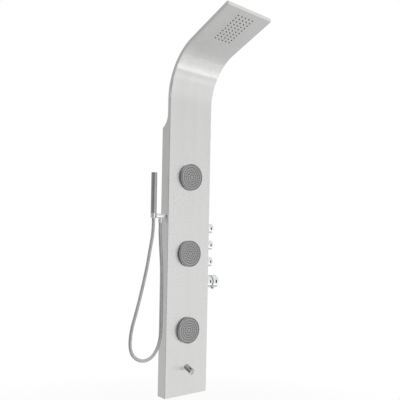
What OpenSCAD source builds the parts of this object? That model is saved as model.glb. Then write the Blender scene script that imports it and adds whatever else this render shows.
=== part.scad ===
// Shower panel column: a bent stainless panel with rain head, body jets, side valves, handset and spout.
// +X is the width, the front faces -Y, the wall is the plane Y = 0, +Z is up.
// The origin is the middle of the upper wall bracket's slots. Heights are given from the panel's bottom edge.

/* [Panel] */
// Width of the panel
panel_w = 220; // [200:5:280]
// Depth of the box sides, from the front to the wall
panel_d = 53; // [53:1:64]
// Height at which the flat front turns into the bend
front_h = 1244; // [1190:2:1400]
// Height at which the sides have narrowed to the rim
side_h = 1185; // [1150:1:1190]
// Radius of the curve where the sides narrow to the rim
step_r = 60; // [45:1:80]
// Depth of the rim on the bend and the arm
rim_d = 16; // [16:0.5:20]
// Radius of the bend, on its front face
bend_r = 200; // [150:5:260]
// Angle of the bend
bend_a = 72.5; // [60:0.5:85]
// Length of the straight arm after the bend
arm_l = 222; // [216:1:300]
// Thickness of the sheet
sheet_t = 1.5; // [1:0.1:1.5]
// Outer radius of the folded edges
fold_r = 3; // [2:0.1:4]
// Width of the lips folded in along the wall
lip_w = 12; // [6:1:20]
// Depth of the bottom return
bottom_d = 12; // [8:1:14]

/* [Wall fixing] */
// Height of the upper bracket's slots above the bottom edge
fix_h = 1000; // [980:1:1040]
// Distance between the upper and the lower bracket
fix_gap = 800; // [780:1:810]
// Distance between the two slots of a bracket
slot_gap = 100; // [60:1:120]
// Width of a slot
slot_w = 6.5; // [4:0.1:8]
// Length of a slot, end to end
slot_l = 16; // [10:1:24]
// Width of a wall bracket
bracket_w = 150; // [140:1:180]
// Height of a wall bracket's plate
bracket_h = 50; // [40:1:60]
// Thickness of the brackets and rails
rail_t = 2; // [1.5:0.1:2]
// Height of the hanger rails
rail_h = 30; // [20:1:40]
// Height of the hook on a bracket
hook_h = 10; // [6:1:16]

/* [Rain head] */
// Nozzles across the arm
rain_cols = 5; // [3:1:5]
// Nozzles along the arm
rain_rows = 10; // [4:1:10]
// Distance between nozzles across
rain_dx = 18; // [14:0.5:20]
// Distance between nozzles along
rain_dy = 15.2; // [12:0.1:15.5]
// Distance from the arm's tip to the first row
rain_tip = 29; // [26:0.5:32]
// Diameter of a rain nozzle
rain_nozzle_d = 5.2; // [4:0.1:6]
// How far the rain nozzles stand out of the sheet
rain_nozzle_out = 1.8; // [0.5:0.1:3]
// Thickness of the silicone mat
mat_t = 2; // [1.5:0.1:2.5]
// Thickness of the chamber's walls
chamber_t = 2; // [1.5:0.1:2]

/* [Body jets] */
// Height of the lowest jet
jet_h = 276; // [270:1:290]
// Distance between jets
jet_gap = 326; // [320:1:330]
// Diameter of a jet's face
jet_d = 112; // [96:1:116]
// Height of the rim's front over the panel
jet_out = 13; // [12.5:0.1:15]
// Thickness of the jet's rim
jet_rim_t = 5.5; // [5:0.1:5.8]
// Diameter of the ball
jet_ball_d = 28; // [26:0.5:28]
// Downward tilt of the top jet as photographed
top_jet_tilt = 3; // [0:0.5:4]
// Diameter of a jet nozzle
jet_nozzle_d = 2.6; // [1.6:0.1:3]

/* [Valves] */
// Height of the top knob
knob_h = 715; // [712:1:722]
// Distance between knobs
knob_gap = 74; // [70:1:76]
// Diameter of a knob
knob_d = 42; // [36:1:48]
// How far a knob stands out from the side
knob_out = 30; // [27:1:40]
// How far the mixer's axis lies under the lowest knob's
mixer_drop = 88; // [82:1:94]
// Diameter of the mixer's handle
mixer_d = 56; // [54:1:62]
// How far the mixer's handle stands out from the side
mixer_out = 61; // [58:1:70]
// Diameter of the mixer's sleeve
sleeve_d = 50; // [48:1:52]
// Length of the mixer's sleeve
sleeve_l = 28; // [24:1:28]
// Distance of the valve body's axis from the middle of the panel
valve_x = 82; // [80:0.5:84]
// Diameter of the inlet nipples' thread
inlet_d = 20.96; // [20.9:0.01:21]
// Length of the inlet nipples' thread
inlet_l = 15; // [10:1:20]
// Distance between the hot and the cold inlet
inlet_gap = 34; // [32:1:36]
// Diameter of the copper pipes
pipe_d = 10; // [8:0.5:10]

/* [Handset] */
// Height of the holder's axis
holder_h = 757; // [755:1:762]
// Diameter of the holder's bar
bar_d = 18.4; // [16:0.2:20]
// Distance from the panel's side to the cup's axis
cup_x = 55; // [50:1:65]
// Diameter of the cup
cup_d = 25; // [24:0.5:28]
// Distance from the panel's side to the hose outlet
outlet_x = 21; // [20:0.5:24]
// Diameter of the handset
handset_d = 24; // [21:0.5:24.5]
// Length of the handset above its cup
handset_l = 167; // [150:1:220]
// Diameter of the shower hose
hose_d = 14; // [14:0.5:14]

/* [Spout] */
// Height of the spout's root
spout_h = 119; // [110:1:125]
// Diameter of the spout
spout_d = 25; // [22:0.5:28]
// Length of the spout along its axis
spout_l = 44; // [36:1:60]
// Angle of the spout below level
spout_a = 19; // [0:1:25]

/* [Hidden] */
$fn = 48;

// Overrun of every cut
cut = 1;
// Radial clearance of running and threaded fits
fit_gap = 0.05;
// Radial clearance of pieces that pass through a hole without touching it
free_gap = 0.3;
// Thickness of every gasket
gasket_t = 1;
// What runs straight on from a bend is drawn in by this much and starts this far back, inside the bend's wall
seam_in = 0.02;
seam_l = 0.5;
// Colours
steel_c = [0.78, 0.79, 0.79];
chrome_c = [0.85, 0.86, 0.88];
brass_c = [0.78, 0.62, 0.32];
copper_c = [0.76, 0.48, 0.34];
rubber_c = [0.25, 0.26, 0.27];
plastic_c = [0.45, 0.46, 0.48];
nylon_c = [0.9, 0.9, 0.86];

// Panel: places that follow from the driving sizes
half_w = panel_w / 2;
inner_w = half_w - sheet_t;
front_in = -panel_d + sheet_t;
side_y = -panel_d / 2;
rim_y = rim_d - panel_d;
step_back = step_r - (panel_d - rim_d);
box_h = side_h - sqrt(step_r * step_r - step_back * step_back);

// Pipes: their bore, and the depth of each behind the front face
pipe_wall_t = 1.2;
pipe_r = pipe_d / 2;
pipe_in_r = pipe_r - pipe_wall_t;
lane_gap = 3;
cross_gap = 2.5;
rain_lane = sheet_t + lane_gap + pipe_r;
outlet_lane = rain_lane + pipe_d + cross_gap;
jets_lane = outlet_lane + pipe_d + cross_gap;
rain_y = -panel_d + rain_lane;
outlet_y = -panel_d + outlet_lane;
jets_y = -panel_d + jets_lane;

// Height above the bottom edge, in the part's own frame
function lvl(h) = h - fix_h;

module at_front(h) {
    translate([0, -panel_d, lvl(h)]) rotate([90, 0, 0]) children();
}

module at_right(h) {
    translate([half_w, side_y, lvl(h)]) rotate([0, 90, 0]) children();
}

module at_left(h) {
    translate([-half_w, side_y, lvl(h)]) rotate([0, -90, 0]) children();
}

// The bend's axis is local Z, and the flat front meets it at local angle zero
module at_bend() {
    translate([0, -panel_d - bend_r, lvl(front_h)]) rotate([90, 0, 90]) children();
}

// Local X runs from the arm's underside to its back, local Y along the arm, local Z is the panel's X
module on_arm() {
    at_bend() rotate([0, 0, bend_a]) translate([bend_r, 0, 0]) children();
}

module rod(r, z0, z1) {
    translate([0, 0, z0]) cylinder(r = r, h = z1 - z0);
}

module ring(r, r_in, z0, z1) {
    difference() {
        rod(r, z0, z1);
        rod(r_in, z0 - cut, z1 + cut);
    }
}

module block(low, high) {
    translate(low) cube(high - low);
}

// A cylinder with its far edge rounded
module round_end(r, z0, z1, edge) {
    rotate_extrude() {
        translate([0, z0]) square([r, z1 - z0 - edge]);
        translate([0, z0]) square([r - edge, z1 - z0]);
        translate([r - edge, z1 - edge]) intersection() {
            circle(edge);
            square(edge);
        }
    }
}

// A straight run between two places on one axis
module run(from, to, r) {
    step = to - from;
    turn = step[0] != 0 ? [0, 90, 0] : step[1] != 0 ? [-90, 0, 0] : [0, 0, 0];
    low = [min(from[0], to[0]), min(from[1], to[1]), min(from[2], to[2])];
    translate(low) rotate(turn) cylinder(r = r, h = norm(step));
}

// Panel shell

// Outline of the front and the two sides in section, with rounded folds: X is depth, Y is width
module folded(depth, width, r) {
    translate([r, -width / 2]) square([depth - r, width]);
    translate([0, r - width / 2]) square([depth, width - 2 * r]);
    for (side = [-1, 1]) translate([r, side * (width / 2 - r)]) circle(r, $fn = 24);
}

module filled(depth, inset) {
    translate([inset, 0]) folded(depth - 2 * inset, panel_w - 2 * inset, fold_r - inset);
}

module channel(depth, inset = 0) {
    wall = sheet_t - inset;
    difference() {
        filled(depth, inset);
        translate([wall, 0]) folded(depth, panel_w - 2 * wall, fold_r - wall);
    }
}

// What the sides lose above the box, seen from the side
module side_step() {
    translate([rim_y, lvl(side_h)]) square([panel_d, front_h - side_h + cut]);
    translate([rim_y + step_r, lvl(side_h)]) circle(step_r);
}

module rain_grid() {
    for (col = [0 : rain_cols - 1], row = [0 : rain_rows - 1]) {
        translate([0, arm_l - rain_tip - row * rain_dy, (col - (rain_cols - 1) / 2) * rain_dx])
            rotate([0, 90, 0]) children();
    }
}

// The chamber's plate: its two ends along the arm and half its width. The first and the last row of
// nozzles lie just inside the chamber's end walls
stud_strip = 12;
row_in = 3;
plate_gap = 5.5;
plate_y = [arm_l - rain_tip - (rain_rows - 1) * rain_dy - stud_strip - chamber_t - row_in,
    arm_l - rain_tip + stud_strip + chamber_t + row_in];
plate_w = inner_w - plate_gap;
stud_r = 2;
stud_gap = 0.3;
stud_in = 6.5;
stud_over = 1.5;
stud_rows = [plate_y[0] + stud_strip / 2, (plate_y[0] + plate_y[1]) / 2, plate_y[1] - stud_strip / 2];
stud_nut_t = 3.2;
stud_l = mat_t + chamber_t + stud_nut_t + stud_over;

module chamber_studs() {
    for (side = [-1, 1], y = stud_rows) {
        translate([sheet_t, y, side * (plate_w - stud_in)]) rotate([0, 90, 0]) children();
    }
}

// What passes through the sheet
socket_r = 24;
stem_r = 10;
headwork_r = 11;
neck_r = 20.5;

module through(r) {
    rod(r + fit_gap, -sheet_t - cut, cut);
}

module panel_shell() {
    color(steel_c) difference() {
        union() {
            difference() {
                translate([0, -panel_d, lvl(0)]) rotate([0, 0, 90]) linear_extrude(front_h) channel(panel_d);
                translate([-panel_w, 0, 0]) rotate([90, 0, 90]) linear_extrude(2 * panel_w) side_step();
            }
            at_bend() rotate_extrude(angle = bend_a, $fn = 120) translate([bend_r, 0]) channel(rim_d);
            on_arm() translate([0, -seam_l, 0]) rotate([-90, 0, 0]) linear_extrude(arm_l + seam_l)
                channel(rim_d, seam_in);
            on_arm() translate([0, arm_l - sheet_t, 0]) rotate([-90, 0, 0]) linear_extrude(sheet_t)
                filled(rim_d, seam_in);
            for (side = [-1, 1]) {
                block([side * (half_w - lip_w / 2) - lip_w / 2, -sheet_t, lvl(0)],
                    [side * (half_w - lip_w / 2) + lip_w / 2, 0, lvl(box_h - sheet_t)]);
            }
            block([-inner_w, front_in, lvl(0)], [inner_w, bottom_d - panel_d, lvl(sheet_t)]);
            on_arm() chamber_studs() rod(stud_r, -sheet_t / 2, stud_l);
        }
        on_arm() rain_grid() rod(rain_nozzle_d / 2 + free_gap, -cut, sheet_t + cut);
        for (i = [1 : 3]) at_jet(i) through(socket_r);
        at_front(spout_h) through(stem_r);
        for (h = knob_levels) at_right(h) through(headwork_r);
        at_right(mixer_h) through(neck_r);
        at_left(holder_h) through(stem_r);
    }
}

// Wall fixing

hook_d = 9;
rail_play = 0.7;
rail_y = rail_t - hook_d + rail_play;
tab_d = 24;

module wall_bracket(h) {
    color(steel_c) translate([0, 0, lvl(h)]) difference() {
        union() {
            block([-bracket_w / 2, -rail_t, -bracket_h / 2], [bracket_w / 2, 0, bracket_h / 2]);
            block([-bracket_w / 2, -hook_d, bracket_h / 2 - rail_t], [bracket_w / 2, 0, bracket_h / 2]);
            block([-bracket_w / 2, -hook_d, bracket_h / 2 - rail_t],
                [bracket_w / 2, rail_t - hook_d, bracket_h / 2 + hook_h]);
        }
        for (side = [-1, 1]) translate([side * slot_gap / 2, cut, 0]) rotate([90, 0, 0]) {
            reach = (slot_l - slot_w) / 2;
            for (end = [-reach, reach]) translate([end, 0, 0]) rod(slot_w / 2, 0, rail_t + 2 * cut);
            block([-reach, -slot_w / 2, 0], [reach, slot_w / 2, rail_t + 2 * cut]);
        }
    }
}

module hanger_rails() {
    color(steel_c) for (h = [fix_h, fix_h - fix_gap]) translate([0, 0, lvl(h) + bracket_h / 2]) {
        block([-inner_w, rail_y, 0], [inner_w, rail_y + rail_t, rail_h]);
        for (side = [-1, 1]) {
            block([side * (inner_w - rail_t / 2) - rail_t / 2, rail_y - tab_d, 0],
                [side * (inner_w - rail_t / 2) + rail_t / 2, rail_y + rail_t, rail_h]);
        }
    }
}

// Rain head

lid_in = 0.5;
chamber_w = plate_w - 2 * stud_in;
chamber_y = [plate_y[0] + stud_strip, plate_y[1] - stud_strip];
chamber_x = [sheet_t + mat_t, rim_d - lid_in];
spigot_r = pipe_r + pipe_wall_t;

module at_spigot() {
    translate([rain_lane, plate_y[0], valve_x]) rotate([-90, 0, 0]) children();
}

module rain_chamber() {
    color(plastic_c) on_arm() difference() {
        union() {
            block([chamber_x[0], plate_y[0], -plate_w], [chamber_x[0] + chamber_t, plate_y[1], plate_w]);
            block([chamber_x[0], chamber_y[0], -chamber_w], [chamber_x[1], chamber_y[1], chamber_w]);
            at_spigot() rod(spigot_r, 0, stud_strip);
        }
        block([chamber_x[0] - cut, chamber_y[0] + chamber_t, chamber_t - chamber_w],
            [chamber_x[1] - chamber_t, chamber_y[1] - chamber_t, chamber_w - chamber_t]);
        at_spigot() rod(pipe_in_r, -cut, stud_strip + chamber_t + cut);
        chamber_studs() rod(stud_r + stud_gap, 0, stud_l + cut);
    }
}

nozzle_bore_share = 0.25;

module rain_nozzle_mat() {
    color(rubber_c) on_arm() difference() {
        union() {
            block([sheet_t, plate_y[0], -plate_w], [sheet_t + mat_t, plate_y[1], plate_w]);
            rain_grid() rod(rain_nozzle_d / 2, -rain_nozzle_out, sheet_t + mat_t / 2);
        }
        rain_grid() rod(nozzle_bore_share * rain_nozzle_d / 2, -rain_nozzle_out - cut, sheet_t + mat_t + cut);
        chamber_studs() rod(stud_r + stud_gap, -cut, stud_l + cut);
    }
}

module rain_chamber_nuts() {
    color(steel_c) on_arm() chamber_studs() ring(2 * stud_r, stud_r + fit_gap,
        mat_t + chamber_t, mat_t + chamber_t + stud_nut_t);
}

// Body jets. Local Z points out of the front, local Y up

ball_r = jet_ball_d / 2;
ball_z = -8;
seat_t = 4;
seat_r = ball_r + seat_t;
seat_half = 9;
jet_stem_r = 7;
jet_bore_r = 4;
flange_r = 28;
flange_t = 2;
socket_wall = 8;
socket_back = ball_z - seat_r - socket_wall;
port_w = 2 * pipe_d;
port_wall = 2;
port_over = 1;
port_l = socket_r + port_over;
port_back = -jets_lane - pipe_r - port_wall;
port_front = -jets_lane + pipe_r + port_wall;
jet_nut_r = 31;
jet_nut_t = 8;
grip_d = 2;
grip_w = 6;
jet_back = jet_out - jet_rim_t;
dish_t = 1.8;
pad_t = 2.2;
face_r = jet_d / 2;
face_wall = 2;
pad_r = face_r - face_wall - fit_gap;
pad_front = jet_back + dish_t + pad_t;
rim_r = 2.4;
rim_w = 4;
face_in = 0.8;
jet_nozzle_out = 0.6;
jet_nozzle_gap = 0.2;
// Rings of nozzles: radius as a share of the face's, and how many
ring_shares = [0.18, 0.36, 0.54, 0.73];
ring_counts = [6, 12, 18, 24];

// Jets are numbered from the top
jet_levels = [jet_h + 2 * jet_gap, jet_h + jet_gap, jet_h];

module at_jet(i) {
    at_front(jet_levels[i - 1]) children();
}

// The moving parts of the top jet stand at its photographed tilt
module tilted(i) {
    translate([0, 0, ball_z]) rotate([i == 1 ? top_jet_tilt : 0, 0, 0]) translate([0, 0, -ball_z]) children();
}

module jet_socket(i) {
    color(plastic_c) at_jet(i) difference() {
        union() {
            rod(socket_r, socket_back, gasket_t + flange_t);
            rod(flange_r, gasket_t, gasket_t + flange_t);
            block([-port_w / 2, -port_w / 2, port_back], [port_l, port_w / 2, port_front]);
        }
        translate([0, 0, ball_z]) sphere(seat_r + fit_gap, $fn = 64);
        rod(pipe_r, -jets_lane, ball_z);
        translate([0, 0, -jets_lane]) rotate([0, 90, 0]) rod(pipe_in_r, 0, port_l + cut);
    }
}

module jet_seat(i) {
    color(nylon_c) at_jet(i) translate([0, 0, ball_z]) difference() {
        intersection() {
            sphere(seat_r, $fn = 64);
            rod(seat_r, -seat_half, seat_half);
        }
        sphere(ball_r + fit_gap, $fn = 64);
    }
}

module jet_ball(i) {
    color(brass_c) at_jet(i) tilted(i) difference() {
        union() {
            translate([0, 0, ball_z]) sphere(ball_r, $fn = 64);
            rod(jet_stem_r, ball_z, jet_back);
            rod(pad_r, jet_back, jet_back + dish_t);
        }
        rod(jet_bore_r, ball_z - ball_r - cut, pad_front);
    }
}

module jet_rings() {
    for (k = [0 : len(ring_shares) - 1], n = [1 : ring_counts[k]]) {
        rotate([0, 0, n * 360 / ring_counts[k]]) translate([ring_shares[k] * face_r, 0, 0]) children();
    }
}

// Half of the jet's cover in section: rounded rim, face plate set back inside it
module face_section() {
    difference() {
        union() {
            translate([0, jet_back]) square([face_r, jet_rim_t - rim_r]);
            translate([0, jet_back]) square([face_r - rim_r, jet_rim_t]);
            translate([face_r - rim_r, jet_out - rim_r]) circle(rim_r);
        }
        translate([-cut, jet_back - cut]) square([face_r - face_wall + cut, dish_t + pad_t + cut]);
        translate([-cut, jet_out - face_in]) square([face_r - rim_w + cut, face_in + cut]);
    }
}

module jet_face(i) {
    color(chrome_c) at_jet(i) tilted(i) difference() {
        rotate_extrude($fn = 96) face_section();
        jet_rings() rod(jet_nozzle_d / 2 + jet_nozzle_gap, pad_front - cut, jet_out + cut);
    }
}

module jet_nozzles(i) {
    color(rubber_c) at_jet(i) tilted(i) {
        rod(pad_r, jet_back + dish_t, pad_front);
        jet_rings() rod(jet_nozzle_d / 2, pad_front - pad_t / 2, jet_out + jet_nozzle_out);
    }
}

module jet_nuts() {
    color(plastic_c) for (i = [1 : 3]) at_jet(i) {
        ring(jet_nut_r - grip_d, socket_r + fit_gap, -sheet_t - jet_nut_t, -sheet_t);
        for (turn = [45 : 45 : 360]) rotate([0, 0, turn]) {
            block([jet_nut_r - 2 * grip_d, -grip_w / 2, -sheet_t - jet_nut_t],
                [jet_nut_r, grip_w / 2, -sheet_t]);
        }
    }
}

// Valve body and side controls. Local Z points out of the right side, local X down

knob_levels = [knob_h, knob_h - knob_gap, knob_h - 2 * knob_gap];
mixer_h = knob_levels[2] - mixer_drop;
gallery_r = 15;
gallery_in_r = 9;
boss_r = 16;
boss_z = [-44, -12];
boss_x = half_w + boss_z[0];
head_deep = 24;
head_nose = 5;
head_shoulder = 2;
collar_r = 16;
collar_t = 2;
spindle_r = 4;
// The block on top of the body, where the rain pipe leaves it
top_w = 24;
top_wall = 1.5;
top_h = [knob_h + 2 * boss_r, knob_h + 4 * boss_r - lane_gap];
// How far the two pipes of the lowest valve leave it above and below its axis
outlet_up = 5;
outlet_down = 6;
chamber_r = 22;
chamber_l = 70;
cartridge_r = 18;
cartridge_deep = 40;
neck_out = 12;
nose_r = 11;
nose_out = 22;
lock_t = 6;
inlet_r = inlet_d / 2;
inlet_wall = 2;
inlet_deep = 30;
inlet_turn = 10;
inlet_first = 54;
inlet_x = [half_w - inlet_first, half_w - inlet_first + inlet_gap];
outlet_levels = [knob_levels[2] + outlet_up, knob_levels[2] - outlet_down];

module valve_body() {
    color(brass_c) difference() {
        union() {
            translate([valve_x, side_y, 0]) rod(gallery_r, lvl(mixer_h), lvl(top_h[0]));
            for (h = knob_levels) at_right(h) rod(boss_r, boss_z[0], boss_z[1]);
            block([valve_x - top_w / 2, rain_y - pipe_r - top_wall, lvl(top_h[0])],
                [valve_x + top_w / 2, side_y + top_w / 2, lvl(top_h[1])]);
            at_right(mixer_h) rod(chamber_r, -chamber_l, -sheet_t);
            at_right(mixer_h) rod(neck_r, -chamber_l, neck_out);
            for (x = inlet_x) translate([x, side_y, 0])
                rod(inlet_r + inlet_wall, lvl(mixer_h) - inlet_deep, lvl(mixer_h));
        }
        translate([valve_x, side_y, 0]) rod(gallery_in_r, lvl(mixer_h), lvl(top_h[1]) - pipe_r);
        for (h = knob_levels) at_right(h) rod(headwork_r + fit_gap, -head_deep, boss_z[1] + cut);
        at_right(mixer_h) rod(cartridge_r + fit_gap, -cartridge_deep, neck_out + cut);
        at_right(mixer_h) rod(pipe_r, -inlet_first, -cartridge_deep + cut);
        for (x = inlet_x) translate([x, side_y, lvl(mixer_h) - inlet_deep]) {
            rod(inlet_r + fit_gap, -cut, inlet_turn);
            rod(pipe_r, 0, inlet_deep);
        }
        run([valve_x, rain_y, lvl(top_h[0]) + pipe_r], [valve_x, rain_y, lvl(top_h[1]) + cut], pipe_in_r);
        run([valve_x, rain_y, lvl(top_h[0]) + pipe_d], [valve_x, side_y, lvl(top_h[0]) + pipe_d], pipe_in_r);
        run([boss_x - cut, jets_y, lvl(knob_levels[1])], [valve_x, jets_y, lvl(knob_levels[1])], pipe_in_r);
        for (h = outlet_levels) run([boss_x - cut, outlet_y, lvl(h)], [valve_x, outlet_y, lvl(h)], pipe_in_r);
    }
}

saddle_w = 20;
saddle_gap = 9;
saddle_front = 1;
saddle_low = [knob_levels[1] + boss_r + saddle_gap, mixer_h + chamber_r + saddle_gap];
saddle_high = [knob_h - boss_r - saddle_gap, knob_levels[2] - boss_r - saddle_gap];
strap_t = 3;

module valve_saddles() {
    color(steel_c) for (i = [0, 1]) difference() {
        block([valve_x - saddle_w, front_in, lvl(saddle_low[i])],
            [valve_x + saddle_w, side_y - saddle_front, lvl(saddle_high[i])]);
        translate([valve_x, side_y, 0])
            rod(gallery_r + fit_gap, lvl(saddle_low[i]) - cut, lvl(saddle_high[i]) + cut);
    }
}

module valve_clamps() {
    color(steel_c) for (i = [0, 1]) translate([valve_x, side_y, 0]) difference() {
        union() {
            intersection() {
                rod(gallery_r + strap_t, lvl(saddle_low[i]), lvl(saddle_high[i]));
                block([-saddle_w, 0, lvl(saddle_low[i])], [saddle_w, saddle_w, lvl(saddle_high[i])]);
            }
            block([-saddle_w, -saddle_front, lvl(saddle_low[i])], [saddle_w, strap_t, lvl(saddle_high[i])]);
        }
        rod(gallery_r + fit_gap, lvl(saddle_low[i]) - cut, lvl(saddle_high[i]) + cut);
    }
}

module headwork(h) {
    color(brass_c) at_right(h) difference() {
        union() {
            rod(headwork_r, -head_deep, head_nose);
            rod(headwork_r + head_shoulder, boss_z[1], -sheet_t);
            rod(collar_r, 0, collar_t);
        }
        rod(spindle_r + fit_gap, -head_deep - cut, head_nose + cut);
    }
}

knob_gap_z = 2.6;
knob_hub = 13;
knob_end = 6;
knob_cavity_r = 13;
knob_round = 1.6;
mark_w = 1.4;
mark_d = 0.5;
spindle_in = 2;

module spindle(h) {
    color(brass_c) at_right(h) rod(spindle_r, spindle_in - head_deep, knob_out - knob_end);
}

module knob(h) {
    color(chrome_c) at_right(h) difference() {
        round_end(knob_d / 2, knob_gap_z, knob_out, knob_round);
        rod(knob_cavity_r, knob_gap_z - cut, knob_hub);
        rod(spindle_r, 0, knob_out - knob_end);
        block([-knob_d / 2, -mark_w / 2, knob_out - mark_d], [-knob_d / 4, mark_w / 2, knob_out + cut]);
    }
}

// Mixer

mixer_gap = 2;
mixer_back = sleeve_l + mixer_gap;
mixer_spindle_r = 5;
mixer_wall = 4;
mixer_hub_r = 10;
mixer_end = 8;
lock_gap = 0.6;
sleeve_gap = 1.2;
button_r = 5.5;
button_shift = 1;
button_z = (mixer_back + mixer_out) / 2 + button_shift;
button_out = 5;
button_round = 1;
button_flange_r = 6.7;
button_flange_t = 1.5;
// The flange's flat front stays clear of the handle's round inner wall
button_flange_z = sqrt(pow(mixer_d / 2 - mixer_wall - free_gap, 2) - button_flange_r * button_flange_r);

module mixer_cartridge() {
    color(plastic_c) at_right(mixer_h) difference() {
        union() {
            rod(cartridge_r, -cartridge_deep, neck_out);
            rod(nose_r, neck_out, nose_out);
        }
        rod(mixer_spindle_r + fit_gap, -cartridge_deep / 2, nose_out + cut);
    }
}

module mixer_lock_nut() {
    color(brass_c) at_right(mixer_h) ring(neck_r + lock_gap, nose_r + fit_gap, neck_out, neck_out + lock_t);
}

module mixer_sleeve() {
    color(chrome_c) at_right(mixer_h) ring(sleeve_d / 2, neck_r + sleeve_gap, 0, sleeve_l);
}

module mixer_spindle() {
    color(brass_c) at_right(mixer_h)
        rod(mixer_spindle_r, spindle_in - cartridge_deep / 2, mixer_out - mixer_end);
}

// Local Z points down, out of the handle's side
module at_button() {
    at_right(mixer_h) translate([0, 0, button_z]) rotate([0, 90, 0]) children();
}

module mixer_handle() {
    color(chrome_c) difference() {
        at_right(mixer_h) difference() {
            round_end(mixer_d / 2, mixer_back, mixer_out, knob_round);
            ring(mixer_d / 2 - mixer_wall, mixer_hub_r, mixer_back - cut, mixer_out - mixer_wall);
            rod(mixer_spindle_r, 0, mixer_out - mixer_end);
        }
        at_button() rod(button_r + fit_gap, mixer_d / 2 - 2 * mixer_wall, mixer_d);
    }
}

module mixer_button() {
    color(plastic_c) at_button() {
        round_end(button_r, button_flange_z - button_flange_t, mixer_d / 2 + button_out, button_round);
        rod(button_flange_r, button_flange_z - button_flange_t, button_flange_z);
    }
}

// Inlets

hex_r = 14;
hex_t = 6;
nipple_in_r = 7;
filter_t = 1;
filter_hole_r = 1;

module inlet_nipples() {
    color(brass_c) for (x = inlet_x) translate([x, side_y, lvl(mixer_h) - inlet_deep]) difference() {
        union() {
            rod(inlet_r, -inlet_l - hex_t, inlet_turn);
            translate([0, 0, -hex_t]) cylinder(r = hex_r, h = hex_t, $fn = 6);
        }
        rod(nipple_in_r, -inlet_l - hex_t - cut, inlet_turn + cut);
    }
}

module inlet_filters() {
    color(steel_c) for (x = inlet_x) translate([x, side_y, lvl(mixer_h) - inlet_deep - hex_t - inlet_l]) {
        difference() {
            rod(nipple_in_r - fit_gap, 0, inlet_l);
            rod(nipple_in_r - filter_t, -cut, inlet_l - filter_t);
            for (turn = [60 : 60 : 360]) rotate([0, 0, turn]) translate([nipple_in_r / 2, 0, 0])
                rod(filter_hole_r, 0, inlet_l + cut);
        }
    }
}

// Pipes

// A length of pipe in section
module pipe_wall(inset) {
    difference() {
        circle(pipe_r - inset, $fn = 24);
        circle(pipe_in_r + inset, $fn = 24);
    }
}

module rain_pipe() {
    color(copper_c) {
        translate([valve_x, rain_y, lvl(top_h[1])]) linear_extrude(front_h - top_h[1]) pipe_wall(0);
        at_bend() rotate_extrude(angle = bend_a, $fn = 120) translate([bend_r + rain_lane, valve_x])
            pipe_wall(0);
        on_arm() translate([rain_lane, -seam_l, valve_x]) rotate([-90, 0, 0])
            linear_extrude(plate_y[0] + seam_l) pipe_wall(seam_in);
    }
}

jets_x = port_w / 2 + socket_r;

module jets_line(r) {
    for (h = jet_levels) run([port_l, jets_y, lvl(h)], [jets_x, jets_y, lvl(h)], r);
    for (h = [jet_levels[0], jet_levels[2]]) translate([jets_x, jets_y, lvl(h)]) sphere(r);
    run([jets_x, jets_y, lvl(jet_levels[2])], [jets_x, jets_y, lvl(jet_levels[0])], r);
    run([jets_x, jets_y, lvl(knob_levels[1])], [boss_x, jets_y, lvl(knob_levels[1])], r);
}

module jets_pipe() {
    color(copper_c) difference() {
        jets_line(pipe_r);
        jets_line(pipe_in_r);
    }
}

// The handset's pipe rises beside the valve body and crosses to a block behind the holder
stem_in = 10;
elbow_w = 18;
elbow_h = 11;
elbow_x = [stem_in - half_w, stem_in + elbow_w - half_w];
elbow_mid = (elbow_x[0] + elbow_x[1]) / 2;
rise_x = boss_x - pipe_d - 2 * cross_gap;

module handset_line(r) {
    run([rise_x, outlet_y, lvl(outlet_levels[0])], [boss_x, outlet_y, lvl(outlet_levels[0])], r);
    run([rise_x, outlet_y, lvl(outlet_levels[0])], [rise_x, outlet_y, lvl(holder_h)], r);
    run([elbow_mid, outlet_y, lvl(holder_h)], [rise_x, outlet_y, lvl(holder_h)], r);
    for (h = [outlet_levels[0], holder_h]) translate([rise_x, outlet_y, lvl(h)]) sphere(r);
}

module handset_pipe() {
    color(copper_c) difference() {
        union() {
            handset_line(pipe_r);
            block([elbow_x[0], outlet_y - pipe_r - port_wall, lvl(holder_h) - elbow_h],
                [elbow_x[1], side_y + elbow_h, lvl(holder_h) + elbow_h]);
        }
        handset_line(pipe_in_r);
        run([elbow_x[0] - cut, side_y, lvl(holder_h)], [elbow_mid, side_y, lvl(holder_h)], pipe_in_r);
        run([elbow_mid, outlet_y, lvl(holder_h)], [elbow_mid, side_y, lvl(holder_h)], pipe_in_r);
    }
}

// The spout's pipe crosses under the middle jet and comes down on the left
drop_x = -50;
spout_stem = 15;

module spout_line(r) {
    run([drop_x, outlet_y, lvl(outlet_levels[1])], [boss_x, outlet_y, lvl(outlet_levels[1])], r);
    run([drop_x, outlet_y, lvl(spout_h)], [drop_x, outlet_y, lvl(outlet_levels[1])], r);
    run([drop_x, outlet_y, lvl(spout_h)], [0, outlet_y, lvl(spout_h)], r);
    for (h = [spout_h, outlet_levels[1]]) translate([drop_x, outlet_y, lvl(h)]) sphere(r);
}

module spout_pipe() {
    color(copper_c) difference() {
        union() {
            spout_line(pipe_r);
            block([-port_w / 2, -panel_d + spout_stem, lvl(spout_h) - port_w / 2],
                [port_w / 2, -panel_d + spout_stem + port_w, lvl(spout_h) + port_w / 2]);
        }
        spout_line(pipe_in_r);
        run([0, -panel_d + spout_stem - cut, lvl(spout_h)], [0, outlet_y, lvl(spout_h)], pipe_in_r);
    }
}

// Holder and handset. On the left side local Z points away from the panel, local X up

rosette_r = 13.5;
rosette_t = 3;
nipple_r = 7.9;
nipple_l = 22;
way_r = 4;
bar_r = bar_d / 2;
cup_top_r = 10.2;
cup_low_r = 8.2;
slot_gap_w = 1.5;
hose_slot = hose_d + slot_gap_w;

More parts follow.
